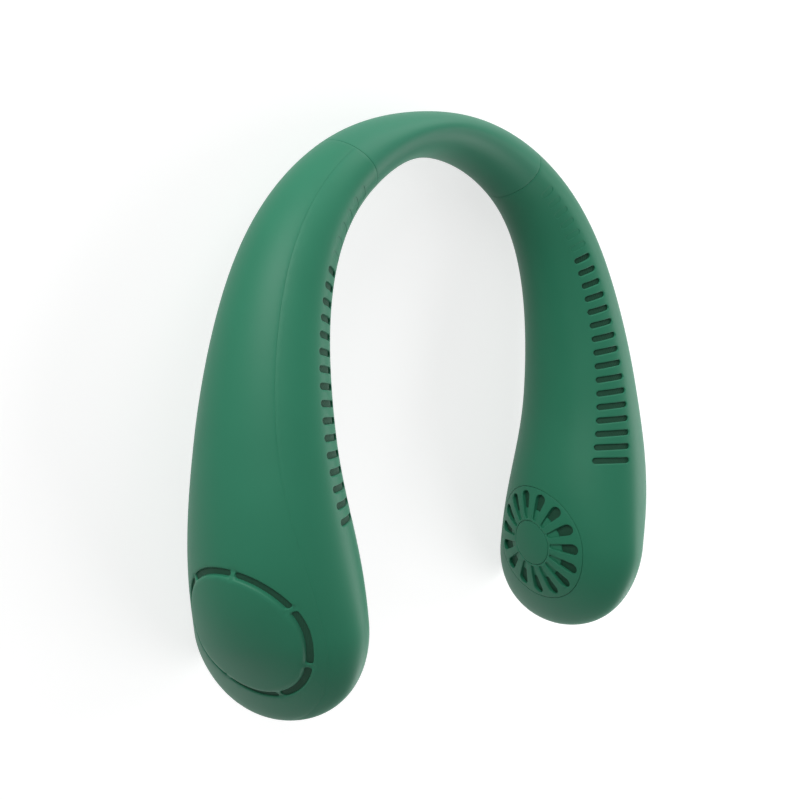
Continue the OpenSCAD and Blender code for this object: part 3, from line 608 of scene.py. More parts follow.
def triangulate(border, holes, grid, step, guides):
    """Triangles between a border and its holes, with the guide points between them, and grid
    points wherever there is room."""
    loops = [border] + holes
    edge_points = np.concatenate(loops)
    if len(guides):
        grid = grid[distance_to(grid, guides) > step * GUIDE_ROOM]
        grid = np.concatenate([guides, grid])
    keep = inside(grid, border)
    for hole in holes:
        keep &= ~within(grid, hole, step)
    grid = grid[keep]
    grid = grid[distance_to(grid, edge_points) > step * EDGE_ROOM]
    points = np.concatenate([edge_points, grid])
    edges, first = [], 0
    for loop in loops:
        i = first + np.arange(len(loop))
        edges += list(zip(i.tolist(), np.roll(i, -1).tolist()))
        first += len(loop)
    in_millimetres = [Vector(p * 1000.0) for p in points]
    found = delaunay_2d_cdt(in_millimetres, edges, [], 0, 1e-7, True)
    places, _, faces, from_points = found[:4]
    if len(places) != len(points):
        raise RuntimeError("outlines cross each other")
    back = np.array([sources[0] for sources in from_points])
    faces = back[np.array(faces)]
    middle = points[faces].mean(1)
    good = inside(middle, border)
    for hole in holes:
        good &= ~within(middle, hole, step)
    faces = faces[good]
    (x1, y1), (x2, y2) = ((points[faces[:, k]] - points[faces[:, 0]]).T for k in (1, 2))
    area = x1 * y2 - y1 * x2
    faces[area < 0] = faces[area < 0][:, ::-1]
    return points, faces[np.abs(area) > 1e-14]


class Opening:
    """One hole or recess in a skin: rings of stations, angles and depths, from the skin down."""

    def __init__(self, rings, floor=False):
        self.rings, self.floor = rings, floor


def sheet_map(arm, middle):
    """Flat map of the skin for triangulating: length along the arm against width round it, which
    narrows towards the tip as the sections do."""
    def width(s):
        thick, high = arm.half_sizes(s)
        return (thick + high) / 2 * arm.closing(s)[1]

    def flatten(s, turn):
        into, _ = arm.closing(s)
        x = np.minimum(s, arm.straight) + TIP_ON_MAP * np.arcsin(into) / (np.pi / 2)
        return np.stack([x, (turn - middle) * width(s)], -1)

    def unflatten(x, y):
        over = np.clip((x - arm.straight) / TIP_ON_MAP, 0, 1)
        s = np.where(over > 0, arm.straight + arm.form.tip_round * np.sin(over * np.pi / 2), x)
        return s, middle + y / np.maximum(width(s), 1e-6)

    return flatten, unflatten


def shell_borders(arm, middle, start):
    """A shell's own outline as rings of stations, angles and depths, from the skin to the inside
    of the wall. It runs along one parting line to the tip, back along the other and across."""
    form = arm.form
    over = np.linspace(0, 1, TIP_POINTS)
    stations = np.concatenate([np.linspace(start, arm.straight, SIDE_POINTS)[:-1],
                               arm.straight + form.tip_round * np.sin(over * np.pi / 2)])
    _, closing = arm.closing(stations)
    thick, high = arm.half_sizes(stations)
    width = np.maximum((thick + high) / 2 * closing, 1e-6)
    across = np.linspace(1, -1, END_POINTS)[1:-1]
    rings = []
    for offset, inset in rounding(form.parting_round, 3) + [(0.0, form.wall)]:
        reach = np.minimum(offset / width, 0.1)
        s = np.maximum(stations, start + offset)
        half = arm.half_turn(middle, s) - reach
        end = middle + (arm.half_turn(middle, start) - reach[0]) * across
        rings.append((np.concatenate([s, s[-2::-1], np.full(len(end), start + offset)]),
                      np.concatenate([middle - half, (middle + half)[-2::-1], end]), inset))
    return rings


def shell(arm, middle, openings, name, side, relief=None, guides=None):
    """A moulded shell between the parting lines on both sides of a middle angle, from the band
    to the tip, with rounded edges and its openings. The skin is triangulated round the
    openings, and so is the inside of the wall; rings of points join the two along every edge. A
    relief lifts or sinks the skin, and fades out to the inside of the wall."""
    form = arm.form
    start = form.seam_station + form.seam_gap / 2
    flatten, unflatten = sheet_map(arm, middle)
    borders = shell_borders(arm, middle, start)
    for opening in openings:
        x, y = flatten(*opening.rings[0][:2]).T
        if (x * np.roll(y, -1) - np.roll(x, -1) * y).sum() < 0:
            opening.rings = [(s[::-1], turn[::-1], inset) for s, turn, inset in opening.rings]
    parts = MeshParts()

    def lay(s, turn, inset):
        points = arm.skin(s, turn, inset)
        if relief:
            points = points + (1 - inset / form.wall) * relief(points)
        return points

    def sheet(rings, inset):
        apart = form.mesh_step * (INSIDE_COARSER if inset else 1)
        reach = arm.half_turn(middle, start) * MAP_REACH
        rows = []
        for i, x in enumerate(np.arange(start, arm.straight + TIP_ON_MAP, apart)):
            y = np.arange(-reach, reach, apart) + (i % 2) * form.mesh_step / 2
            rows.append(np.stack([np.full(len(y), x), y], -1))

        def place(points):
            s, turn = unflatten(*points.T)
            known = np.concatenate([np.stack(ring[:2]) for ring in rings], -1)
            s[:known.shape[1]], turn[:known.shape[1]] = known
            return lay(s, turn, inset)

        fixed = flatten(*guides) if guides and not inset else np.zeros((0, 2))
        return parts.sheet([flatten(*ring[:2]) for ring in rings], np.concatenate(rows),
                           form.mesh_step, place, not inset, fixed)

    through = [opening.rings[-1] for opening in openings if not opening.floor]
    above = sheet([borders[0]] + [opening.rings[0] for opening in openings], 0.0)
    below = iter(sheet([borders[-1]] + through, form.wall))
    parts.wall(above[0], [lay(*ring) for ring in borders[1:-1]], next(below))
    for row, opening in zip(above[1:], openings):
        if opening.floor:
            parts.wall(row, [lay(*ring) for ring in opening.rings[1:]], flip=True)
        else:
            parts.wall(row, [lay(*ring) for ring in opening.rings[1:-1]], next(below), flip=True)
    return parts.build(name, side)


def slot_frame(arm, s, first, last):
    """The plane of a slot's cutter: along the arm, and along the line between the slot's ends."""
    run, edge, face = arm.axes(s)
    _, up, out = arm.section(np.array([s, s]), np.array([first, last]))
    start, end = (arm.centre(s) + up[k] * edge + out[k] * face for k in (0, 1))
    reach = np.linalg.norm(end - start)
    return (start, run, (end - start) / reach), reach


def slot_ends(slots, at):
    """Section angles of a slot's outer and inner ends, at a share of the way along the row. Both
    change evenly along it and dip half-way, the inner one half as far."""
    dip = slots.dip * 4 * at * (1 - at)
    first = slots.outer_first + (slots.outer_last - slots.outer_first) * at - dip
    last = slots.inner_first + (slots.inner_last - slots.inner_first) * at - dip / 2
    return first, last


def cut_rings(edge, depth, land=0.0005):
    """Offsets and depths of an opening's rings: a flat land, the rounded edge and the wall."""
    return [(edge + land, 0.0)] + rounding(edge) + [(0.0, depth)]


def air_slots(arm, slots):
    """Openings for the row of slots, a pitch apart, each cut square to the line between its
    ends. The shallow ones before the first have a floor."""
    made = []
    radius = slots.width / 2
    for i in range(-slots.blind, slots.count):
        first, last = slot_ends(slots, min(max(i / (slots.count - 1), 0), 1))
        s = slots.first + i * slots.pitch
        plane, reach = slot_frame(arm, s, first, last)
        blind = i < 0
        edge = BLIND_ROUND * slots.blind_depth if blind else arm.form.edge_round
        found = []
        for offset, inset in cut_rings(edge, slots.blind_depth if blind else arm.form.wall):
            places = drop([0, radius], [0, reach - radius], radius + offset, radius + offset)
            guess = s + places[:, 0], first + (last - first) * places[:, 1] / reach
            found.append((*arm.find(plane, places, *guess, inset), inset))
        made.append(Opening(found, blind))
    return made


def fan_opening(arm, grille, outline, rings, inner):
    """An opening cut square to the fan's plane, its outline a function of the offset."""
    return Opening([
        (*arm.over_fan(grille, outline(offset), inset, inner), inset) for offset, inset in rings
    ])


def ring_middle(cover):
    """Middle of the inlet arcs' ring on the fan's plane."""
    return np.array([cover.along, cover.above])


def arc_spans(cover):
    """First and last angle of each inlet arc."""
    apart = TURN / cover.arcs
    first = cover.bridge_turn + cover.bridge / 2 + apart * np.arange(cover.arcs)
    return [(a, a + apart - cover.bridge) for a in first]


def inlet_arcs(arm, grille, cover):
    """Openings along the ring: each follows an arc at half its width on both sides."""
    half = cover.arc_width / 2
    rings = cut_rings(arm.form.edge_round, arm.form.wall, BRIDGE_LAND)

    def outline(span):
        return lambda offset: (bow(cover.radius - half, *span, half + offset)
                               + ring_middle(cover))

    return [fan_opening(arm, grille, outline(span), rings, False) for span in arc_spans(cover)]


def cover_relief(arm, grille, cover):
    """Lift of the outer skin by its distance from the cover's middle, along the fan's axis. The
    cover stands proud up to its edge, which falls as a quarter ellipse; the bridges lie in a
    shallow channel that rises to the shell outside the arcs."""
    plane, face = arm.fan_plane(grille)
    edge = cover.radius - cover.arc_width
    fall = np.linspace(0, 1, 9)
    radii = np.concatenate([edge - cover.brim * (1 - fall),
                            cover.radius + cover.brim * fall[::4] / 2])
    lift = np.concatenate([cover.rise - cover.fall * (1 - np.sqrt(1 - fall**2)),
                           -cover.bridge_drop * (1 - fall[::4]) ** 2])

    def relief(points):
        away = points - plane[0]
        seen = np.stack([away @ plane[1], away @ plane[2]], -1) - ring_middle(cover)
        height = np.interp(np.linalg.norm(seen, axis=-1), radii, lift)
        return np.where(away @ face > 0, height, 0.0)[:, None] * face

    return relief


def cover_guides(arm, grille, cover):
    """Points of the skin on circles beside the arcs, where the relief bends."""
    edge = cover.radius - cover.arc_width
    circles = [disc(radius, 160) + ring_middle(cover)
               for radius in (edge - GUIDE_FAR, edge - GUIDE_NEAR, cover.radius + GUIDE_NEAR)]
    return arm.over_fan(grille, np.concatenate(circles), 0.0, False)


def control_axes(arm):
    """Axes that the control board and all controls share, in the lower edge of the -X arm."""
    return arm.axes(arm.form.board_station)


def measures(arm, node):
    """Lowest and highest measures of a CAD node along the control axes, as if in the +X arm."""
    points = np.array([v.co for v in frame["nodes"][node].data.vertices], float) - BACK
    own = (points * [-1, 1, 1]) @ np.stack(control_axes(arm), -1)
    return own.min(0), own.max(0)


def control_openings(arm, controls):
    """Openings for the button, the light and the charging socket."""
    run, edge, face = control_axes(arm)
    gap = arm.form.fit_gap
    board = arm.form.board_station
    made = []
    for node in ("power_button", "status_light", "charging_socket"):
        low, high = measures(arm, node)
        origin = (low + high) / 2 @ np.stack([run, edge, face])
        size = (high - low) / 2 + gap
        station = board + (origin - arm.centre(np.array(board))) @ run
        found = []
        for offset, inset in cut_rings(controls.mouth_round, arm.form.wall, MOUTH_LAND):
            if node == "power_button":
                places = disc(controls.button_radius + gap + offset, 48)
            elif node == "status_light":
                places = disc(size[0] + offset, 32)
            else:
                half = size[0] - size[2]
                places = drop([-half, 0], [half, 0], size[2] + offset, size[2] + offset)
            guess = station + places[:, 0], 1.5 * np.pi + places[:, 1] / EDGE_CURVE
            found.append((*arm.find((origin, run, face), places, *guess, inset), inset))
        made.append(Opening(found))
    return made


# Materials


FINISHES = {}
# Share of full gloss that satin plastic has
GLOSS = 0.25
# A wave texture's bands lie this share of a length apart at scale 1
WAVE_SCALE = 0.314
# Scale of the slow clouds in moulded plastic, and of the lines in metal
CLOUD_SCALE, LINE_SCALE = 55, 900


def feed(tree, target, *values, **named):
    """Feeds a node's inputs, given in order or by name with underscores for spaces. A socket is
    linked, and anything else becomes the input's value."""
    given = list(zip(target.inputs, values))
    given += [(target.inputs[name.replace("_", " ")], value) for name, value in named.items()]
    for socket, value in given:
        if isinstance(value, bpy.types.NodeSocket):
            tree.links.new(value, socket)
        else:
            socket.default_value = value


def wired(tree, kind, output, *values, options={}, **named):
    """One output of a new shader node, with the node's options set and its inputs fed."""
    made = tree.nodes.new("ShaderNode" + kind)
    for name, choice in options.items():
        setattr(made, name, choice)
    feed(tree, made, *values, **named)
    return made.outputs[output]


def blank(name):
    """A new material, its node tree and its shader."""
    made = bpy.data.materials.new(name)
    made.use_nodes = True
    return made, made.node_tree, made.node_tree.nodes["Principled BSDF"]


def blended(tree, share, low, high):
    """The colour between two, at a share."""
    return wired(tree, "Mix", "Result", options={"data_type": "RGBA"}, Factor=share,
                A=(*low, 1), B=(*high, 1))


def spread(tree, value, low, high):
    """A value from 0 to 1 spread evenly between two."""
    return wired(tree, "MapRange", "Result", Value=value, To_Min=low, To_Max=high)


def moulded(name, tint, rough, grain=0.00022, depth=0.00002, drift=0.06):
    """Moulded plastic or rubber: a fine spark-eroded grain as bump, roughness that drifts slowly,
    and a faint cloudiness in the colour, all on Object coordinates."""
    made, tree, shader = blank(name)
    place = wired(tree, "TexCoord", "Object")
    fine = wired(tree, "TexNoise", "Fac", Vector=place, Scale=1 / grain, Detail=2)
    slow = wired(tree, "TexNoise", "Fac", Vector=place, Scale=CLOUD_SCALE, Detail=4)
    tint = np.array(tint)
    feed(tree, shader, IOR=1.48, Specular_IOR_Level=GLOSS,
         Base_Color=blended(tree, slow, tint * (1 - drift), np.minimum(tint * (1 + drift), 1)),
         Roughness=spread(tree, slow, rough - 0.05, rough + 0.05),
         Normal=wired(tree, "Bump", "Normal", Height=fine, Strength=0.35, Distance=depth))
    return made


def metal(name, tint, rough, stretch=(1, 1, 1)):
    """Metal with fine drawn lines or grain that roughen and lift it a little."""
    made, tree, shader = blank(name)
    place = wired(tree, "Mapping", "Vector", wired(tree, "TexCoord", "Object"), Scale=stretch)
    lines = wired(tree, "TexNoise", "Fac", Vector=place, Scale=LINE_SCALE, Detail=3)
    feed(tree, shader, Base_Color=(*tint, 1), Metallic=1,
         Roughness=spread(tree, lines, rough - 0.08, rough + 0.1),
         Normal=wired(tree, "Bump", "Normal", Height=lines, Strength=0.2, Distance=0.00001))
    return made


def woven(name, tint, rough, pitch=0.00032, shade=0.35):
    """Woven dust mesh: two sets of sine waves across each other lift the threads, and painted
    shade darkens the colour between them."""
    made, tree, shader = blank(name)
    place = wired(tree, "TexCoord", "Object")
    waves = [wired(tree, "TexWave", "Fac", options={"bands_direction": way}, Vector=place,
                  Scale=WAVE_SCALE / pitch) for way in "YZ"]
    threads = wired(tree, "Math", "Value", *waves, options={"operation": "MAXIMUM"})
    # The colour between the threads is painted shade
    feed(tree, shader, Roughness=rough, Specular_IOR_Level=GLOSS,
         Base_Color=blended(tree, threads, np.array(tint) * shade, tint),
         Normal=wired(tree, "Bump", "Normal", Height=threads, Strength=0.6, Distance=pitch / 4))
    return made


def finish_of(kind):
    """The material of one kind, made once: how it is made, its colour, its roughness and the
    measures of its grain or lines."""
    look = bpy.context.scene.neck_fan_finish
    if kind not in FINISHES:
        make, *traits = {
            "shell_plastic": (moulded, look.shell, look.shell_rough),
            "band_silicone": (moulded, look.band, look.band_rough, 0.0003, 0.000015),
            "wheel_plastic": (moulded, look.wheel, 0.4),
            # The grille's dust mesh, and the painted shade of the strips in the arcs and slots
            "dust_mesh": (woven, look.mesh, 0.7),
            "inner_black": (moulded, (0.012, 0.013, 0.014), 0.5, 0.00022, 0.00002, 0.15),
            "cable_sheath": (moulded, (0.008, 0.008, 0.008), 0.55, 0.00022, 0.00002, 0.2),
            "circuit_board": (moulded, (0.006, 0.075, 0.035), 0.3, 0.0006, 0.00002, 0.25),
            "cell_sleeve": (moulded, (0.03, 0.10, 0.32), 0.28, 0.002, 0.00002, 0.08),
            "light_guide": (moulded, (0.80, 0.86, 0.80), 0.2, 0.00022, 0.00002, 0.03),
            "turned_steel": (metal, (0.56, 0.57, 0.58), 0.3, (1, 1, 6)),
            "magnet": (metal, (0.09, 0.09, 0.10), 0.5),
            "bearing_metal": (metal, (0.60, 0.42, 0.16), 0.4),
            "copper_wire": (metal, (0.62, 0.25, 0.12), 0.32, (1, 1, 14)),
        }[kind]
        FINISHES[kind] = make("finish_" + kind, *traits)
    return FINISHES[kind]


def wear(piece, kind):
    """Gives a piece the one finish of a kind."""
    piece.data.materials.clear()
    piece.data.materials.append(finish_of(kind))
    return piece


def dress(piece, kind, slot, node=None, body=None):
    """Gives a piece its finish, hides the CAD node that it replaces and attaches it to the body
    that it rides. The slot is not used."""
    wear(piece, kind)
    if node:
        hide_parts(node)
    if body:
        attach(piece, body)
    return piece


# Operators


def arm_now():
    """The arm at the sizes that the panel holds."""
    return Arm(bpy.context.scene.neck_fan_arm)


def thin_sheet(parts, above, below, inner, closed=False):
    """Closes two like grids of points into one thin piece."""
    loop = np.concatenate([above, below[::-1]])
    index = parts.grid(loop, close_rows=True, close_columns=closed, flip=not inner)
    if not closed:
        half = len(above)
        for column, flip in ((index[:, 0], inner), (index[:, -1], not inner)):
            parts.quads(column[:half], column[:half - 1:-1], closed=False, flip=flip)


def ribbon(parts, arm, grille, places, depth, inner, closed=False):
    """A thin strip that follows the skin at a depth, over rows of places: the grille's dust mesh,
    or a dark strip of painted shade in the arcs.
    """
    above, below = (arm.skin(*arm.over_fan(grille, places, d, inner), d)
                    for d in (depth, depth + grille.mesh_thickness))
    thin_sheet(parts, above, below, inner, closed)


def rays(radii, t):
    """Places at every radius and angle, as rows of one radius."""
    return np.asarray(radii)[:, None, None] * np.stack([np.cos(t), np.sin(t)], -1)


def inlet_shade_strips(arm, grille, cover, name, side):
    """Dark strips across the inlet arcs, a little under the skin: painted shade that darkens the
    arcs.
    """
    lap = grille.mesh_lap
    inner = cover.radius - cover.arc_width
    radii = [inner - lap, cover.radius - cover.arc_width / 2, cover.radius + lap]
    wide = np.arcsin((cover.arc_width / 2 + lap) / cover.radius)
    parts = MeshParts()
    for first, last in arc_spans(cover):
        places = rays(radii, np.linspace(first - wide, last + wide, 40)) + ring_middle(cover)
        ribbon(parts, arm, grille, places, grille.mesh_depth, False)
    return parts.build(name, side)


def slot_shade_strip(arm, grille, slots, name, side):
    """One dark strip inside the wall, across all air slots: painted shade that darkens the slots.
    """
    at = np.linspace(0, 1, 120)
    over = slots.width / 2 + grille.mesh_lap
    s = slots.first - over + at * ((slots.count - 1) * slots.pitch + 2 * over)
    first, last = slot_ends(slots, at)
    turn = np.linspace(first - MESH_SPREAD, last + MESH_SPREAD, 12)
    above, below = (arm.skin(s, turn, depth)
                    for depth in (grille.mesh_depth, grille.mesh_depth + grille.mesh_thickness))
    parts = MeshParts()
    thin_sheet(parts, above, below, False)
    return parts.build(name, side)


def grille_mesh(arm, grille, name, side):
    """A ring of dust mesh behind the grille's openings."""
    radii = np.linspace(grille.hub_radius - grille.mesh_lap, grille.radius - grille.ledge, 8)
    parts = MeshParts()
    places = rays(radii, np.arange(120) * TURN / 120)
    ribbon(parts, arm, grille, places, grille.mesh_sink, True, True)
    return parts.build(name, side)


class NECKFAN_OT_outer_shells(bpy.types.Operator):
    """Outer shells with the inlet arcs round the covers"""

    bl_idname = "neck_fan.outer_shells"
    bl_label = "Outer shells"

    def execute(self, context):
        scene, arm = context.scene, arm_now()
        grille, cover = scene.neck_fan_grille, scene.neck_fan_cover
        openings = inlet_arcs(arm, grille, cover)
        relief, guides = cover_relief(arm, grille, cover), cover_guides(arm, grille, cover)
        for name, side in SIDES.items():
            skin = shell(arm, 0, openings, name + "_outer_skin", side, relief, guides)
            dress(skin, "shell_plastic", "shell_green", name + "_outer_shell", name + "_arm")
            # A dark strip under the inlet arcs: painted shade
            mesh = inlet_shade_strips(arm, grille, cover, name + "_inlet_mesh", side)
            dress(mesh, "dust_mesh", "wheel_green", body=name + "_arm")
        return {"FINISHED"}


class NECKFAN_OT_inner_shells(bpy.types.Operator):
    """Inner shells with the crest's air slots and the round seats of the grilles"""

    bl_idname = "neck_fan.inner_shells"
    bl_label = "Inner shells"

    def execute(self, context):
        scene, arm = context.scene, arm_now()
        grille, slots, form = scene.neck_fan_grille, scene.neck_fan_slots, arm.form
        rim = grille.radius + form.fit_gap
        depth = grille.seat_depth + form.fit_gap
        mouth = grille.radius - grille.ledge - rim
        rings = cut_rings(form.parting_round, depth) + [(mouth, depth), (mouth, form.wall)]
        seat = fan_opening(arm, grille, lambda offset: disc(rim + offset), rings, True)
        shared = air_slots(arm, slots) + [seat]
        for name, side in SIDES.items():
            own = control_openings(arm, scene.neck_fan_controls) if side < 0 else []
            skin = shell(arm, np.pi, shared + own, name + "_inner_skin", side)
            dress(skin, "shell_plastic", "shell_green", name + "_inner_shell", name + "_arm")
            # A dark strip inside the air slots: painted shade
            mesh = slot_shade_strip(arm, grille, slots, name + "_slot_mesh", side)
            dress(mesh, "dust_mesh", "wheel_green", body=name + "_arm")
        return {"FINISHED"}


def plate(arm, grille, outlines, radius, rings, depth, name, side, brim=1.0, backing=None):
    """A round plate that follows the inner skin over the fan's plane, with openings cut through
    it. The brim is the share of the openings' rounding that its own edge has, and a backing adds
    what lies behind it."""
    parts = MeshParts()
    reach = radius + PLATE_STEP
    axis = np.arange(-reach, reach, PLATE_STEP)
    grid = np.stack([a.ravel() for a in np.meshgrid(axis, axis)], -1)

    def border(offset):
        return disc(radius + offset, 128 if outlines else CAP_POINTS)

    def lay(places, inset):
        return arm.skin(*arm.over_fan(grille, places, inset, True), inset)

    def sheet(offset, inset, flip):
        loops = [border(-offset * brim)] + [outline(offset) for outline in outlines]
        return parts.sheet(loops, grid, PLATE_STEP, lambda places: lay(places, inset), flip)

    above, below = sheet(*rings[0], flip=True), sheet(0.0, depth, flip=False)
    for k, outline in enumerate([border] + outlines):
        way, fall = (-brim, brim) if k == 0 else (1, 1)
        walls = [lay(outline(way * offset), fall * inset) for offset, inset in rings[1:]]
        parts.wall(above[k], walls, below[k], flip=k > 0)
    if backing:
        backing(parts, lay)
    return parts.build(name, side)


def petal_outlines(grille):
    """Teardrops at even angles round the cap, each with its narrow end towards it."""
    outer = grille.radius - grille.petal_inset - grille.petal_wide
    inner = grille.cap_radius + grille.petal_narrow + grille.hub_rim / 2
    made = []
    for k in range(grille.petals):
        t = TURN * k / grille.petals
        ray = np.array([math.cos(t), math.sin(t)])
        made.append(lambda offset, ray=ray: drop(
            inner * ray, outer * ray, grille.petal_narrow + offset, grille.petal_wide + offset,
            sides=8))
    return made


class NECKFAN_OT_grilles(bpy.types.Operator):
    """Inner grilles with teardrop openings, the floor behind their inner ends, and the caps"""

    bl_idname = "neck_fan.grilles"
    bl_label = "Grilles and caps"

    def execute(self, context):
        arm, grille = arm_now(), context.scene.neck_fan_grille
        cap_seat = grille.cap_radius + arm.form.fit_gap
        openings = petal_outlines(grille)
        openings.append(lambda offset: disc(cap_seat + CAP_SEAT_ROUND * offset, CAP_POINTS))

        def backing(parts, lay):
            """Floor of the cap's seat, and the hub behind it whose rim slopes down through the
            openings' inner ends. Both are profiles of radius, as a share of the seat's, and
            depth."""
            seat = grille.cap_thickness + arm.form.fit_gap
            back = grille.thickness + grille.hub_drop
            wide = grille.hub_radius / cap_seat
            floor = [(share, seat) for share in (0, 0.35, 0.7, 1)]
            hub = [(share, back) for share in (0, 0.5, 1, wide)]
            hub += [(wide, grille.thickness), (wide, grille.floor_depth)]
            hub += [(1 + (wide - 1) * t, seat + (grille.floor_depth - seat) * t ** SLOPE_POWER)
                    for t in np.linspace(1, 0, 9)[1:]]
            for profile, flip in ((floor, False), (hub, True)):
                rings = [lay(disc(max(share, 1e-6) * cap_seat, CAP_POINTS), inset)
                         for share, inset in profile]
                rings[0][:] = rings[0].mean(0)
                parts.grid(np.stack(rings), close_columns=True, flip=flip)

        for name, side in SIDES.items():
            body = name + "_arm"
            face = plate(arm, grille, openings, grille.radius, rounding(PETAL_ROUND),
                         grille.thickness, name + "_grille", side, GRILLE_BRIM, backing)
            dress(face, "shell_plastic", "grille_green", name + "_inner_grille", body)
            cap = plate(arm, grille, [], grille.cap_radius, rounding(CAP_ROUND),
                        grille.cap_thickness, name + "_cap", side)
            dress(cap, "shell_plastic", "grille_green", name + "_grille_cap", body)
            mesh = grille_mesh(arm, grille, name + "_grille_mesh", side)
            dress(mesh, "dust_mesh", "wheel_green", body=body)
        return {"FINISHED"}


class NECKFAN_OT_band(bpy.types.Operator):
    """Soft band, spring strip and cable between the two arms"""

    bl_idname = "neck_fan.band"
    bl_label = "Soft band"

    def execute(self, context):
        arm = arm_now()
        form = arm.form
        end = form.seam_station - form.seam_gap / 2
        edge = form.band_round
        t = np.linspace(0, np.pi / 2, 5)
        into, down = end - edge + edge * np.sin(t), edge * (1 - np.cos(t))
        outer = np.linspace(-end + edge, end - edge, OUTER_RINGS + 2)[1:-1]
        rows = np.concatenate([-into[::-1], outer, into, np.linspace(end, -end, INNER_RINGS)])
        insets = np.concatenate([down[::-1], np.zeros(OUTER_RINGS), down,
                                 np.full(INNER_RINGS, form.sleeve_wall)])
        s, turn = np.meshgrid(rows, np.arange(96) * TURN / 96, indexing="ij")
        points = arm.skin(np.abs(s), turn, insets[:, None])
        points[s < 0, 0] *= -1
        parts = MeshParts()
        parts.grid(points, close_rows=True, close_columns=True)
        pieces = [dress(parts.build("neck_band"), "band_silicone", "band_silicone", "neck_sleeve")]
        for name, kind, slot, outline in (
            ("neck_spine", "turned_steel", "steel", strip_outline()),
            ("neck_cable", "cable_sheath", "cable_black", round_outline()),
        ):
            s = np.linspace(-CORE_REACH, CORE_REACH, 80)
            _, up, face = arm.axes(np.abs(s))
            points = (arm.centre(np.abs(s))[:, None] + outline[None, :, :1] * up[:, None]
                      + outline[None, :, 1:] * face[:, None])
            points[s < 0, :, 0] *= -1
            parts = MeshParts()
            index = parts.grid(points, close_columns=True)
            for row, flip in ((index[0], True), (index[-1], False)):
                fan = np.stack([np.full(len(row) - 2, row[0]), row[1:-1], row[2:]], -1)
                parts.triangles(fan, flip)
            pieces.append(dress(parts.build(name + "_core"), kind, slot, name))
        tip = arm.centre(np.array(form.seam_station - BEND_INSET))
        for piece in pieces:
            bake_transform(piece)
        return {"FINISHED"}


def strip_outline():
    """Spring strip: a flat bar with rounded edges, as [up, out] places."""
    half, high, low = STRIP_THICKNESS / 2, STRIP_HEIGHT / 2, STRIP_DROP
    t = np.linspace(0, np.pi, 9)
    top = np.stack([high - half - low + half * np.sin(t), half * np.cos(t)], -1)
    foot = np.stack([-high + half - low - half * np.sin(t), -half * np.cos(t)], -1)
    return np.concatenate([top, foot])


def round_outline():
    """Cable above the strip."""
    t = np.arange(20) * TURN / 20
    return np.stack([CABLE_RISE + CABLE_RADIUS * np.sin(t), CABLE_RADIUS * np.cos(t)], -1)


class NECKFAN_OT_controls(bpy.types.Operator):
    """Push button with a dished top"""

    bl_idname = "neck_fan.controls"
    bl_label = "Controls"

    def execute(self, context):
        arm, controls = arm_now(), context.scene.neck_fan_controls
        run, edge, face = control_axes(arm)
        low, high = measures(arm, "power_button")
        middle = (low + high) / 2
        top, end, flange = low[1], high[1], high[0] - middle[0]
        fillet, brim = controls.button_round, controls.button_radius - controls.button_round
        profile = [(r * brim, top + controls.button_dish * (1 - r**2))
                   for r in np.linspace(0, 1, 12)]
        profile += [(brim + fillet * math.sin(a), top + fillet * (1 - math.cos(a)))
                    for a in np.linspace(0, np.pi / 2, 7)[1:]]
        rim = end - controls.flange_thickness
        profile = np.array(profile + [(brim + fillet, rim), (flange, rim), (flange, end), (0, end)])
        turns = np.arange(64)[:, None] * TURN / 64
        rings = profile[:, :1, None] * (np.cos(turns) * run + np.sin(turns) * face)
        points = rings + profile[:, 1:, None] * edge + middle[0] * run + middle[2] * face
        parts = MeshParts()
        parts.grid(points, close_columns=True)
        button = parts.build("push_button", -1)
        dress(button, "wheel_plastic", "wheel_green", "power_button", "button")
        return {"FINISHED"}


class NECKFAN_OT_inner_works(bpy.types.Operator):
    """Finishes of the pieces inside the arms"""

    bl_idname = "neck_fan.inner_works"
    bl_label = "Inner works"

    def execute(self, context):
        kinds = {
            "neck_plug": "wheel_plastic", "air_duct": "wheel_plastic",
            "fan_wheel": "wheel_plastic", "rotor_cup": "turned_steel", "magnet_ring": "magnet",
            "motor_shaft": "turned_steel", "motor_bearing": "bearing_metal",
            "stator": "copper_wire", "motor_base": "circuit_board",
            "motor_screws": "turned_steel", "battery_cell": "cell_sleeve",
        }
        dressed = {side + "_" + node: kind for side in SIDES for node, kind in kinds.items()}
        dressed.update(control_board="circuit_board", power_switch="inner_black",
                       charging_socket="turned_steel", status_light="light_guide")
        for node, kind in dressed.items():
            wear(frame["nodes"][node], kind)
        return {"FINISHED"}


class NECKFAN_OT_studio(bpy.types.Operator):
    """Camera, soft lamps, white surroundings and a pale floor"""

    bl_idname = "neck_fan.studio"
    bl_label = "Studio"

    def execute(self, context):
        scene, set_up = context.scene, context.scene.neck_fan_studio
        scene.camera = aimed_camera(set_up)
        middle = Vector((np.array(CAD_BOX[0]) + np.array(CAD_BOX[1])) / 2)
        for name, toward in LAMPS.items():
            lamp = bpy.data.lights.new(name, "AREA")
            lamp.shape, lamp.size, lamp.energy = "DISK", LAMP_SIZE, getattr(set_up, name)
            toward = Vector(toward).normalized()
            put(name, lamp).matrix_world = (Matrix.Translation(middle + toward * LAMP_DISTANCE)
                                            @ toward.to_track_quat("Z", "Y").to_matrix().to_4x4())
        scene.world = white_world(set_up)
        paper_floor(set_up)
        scene.view_settings.view_transform = "Standard"
        return {"FINISHED"}


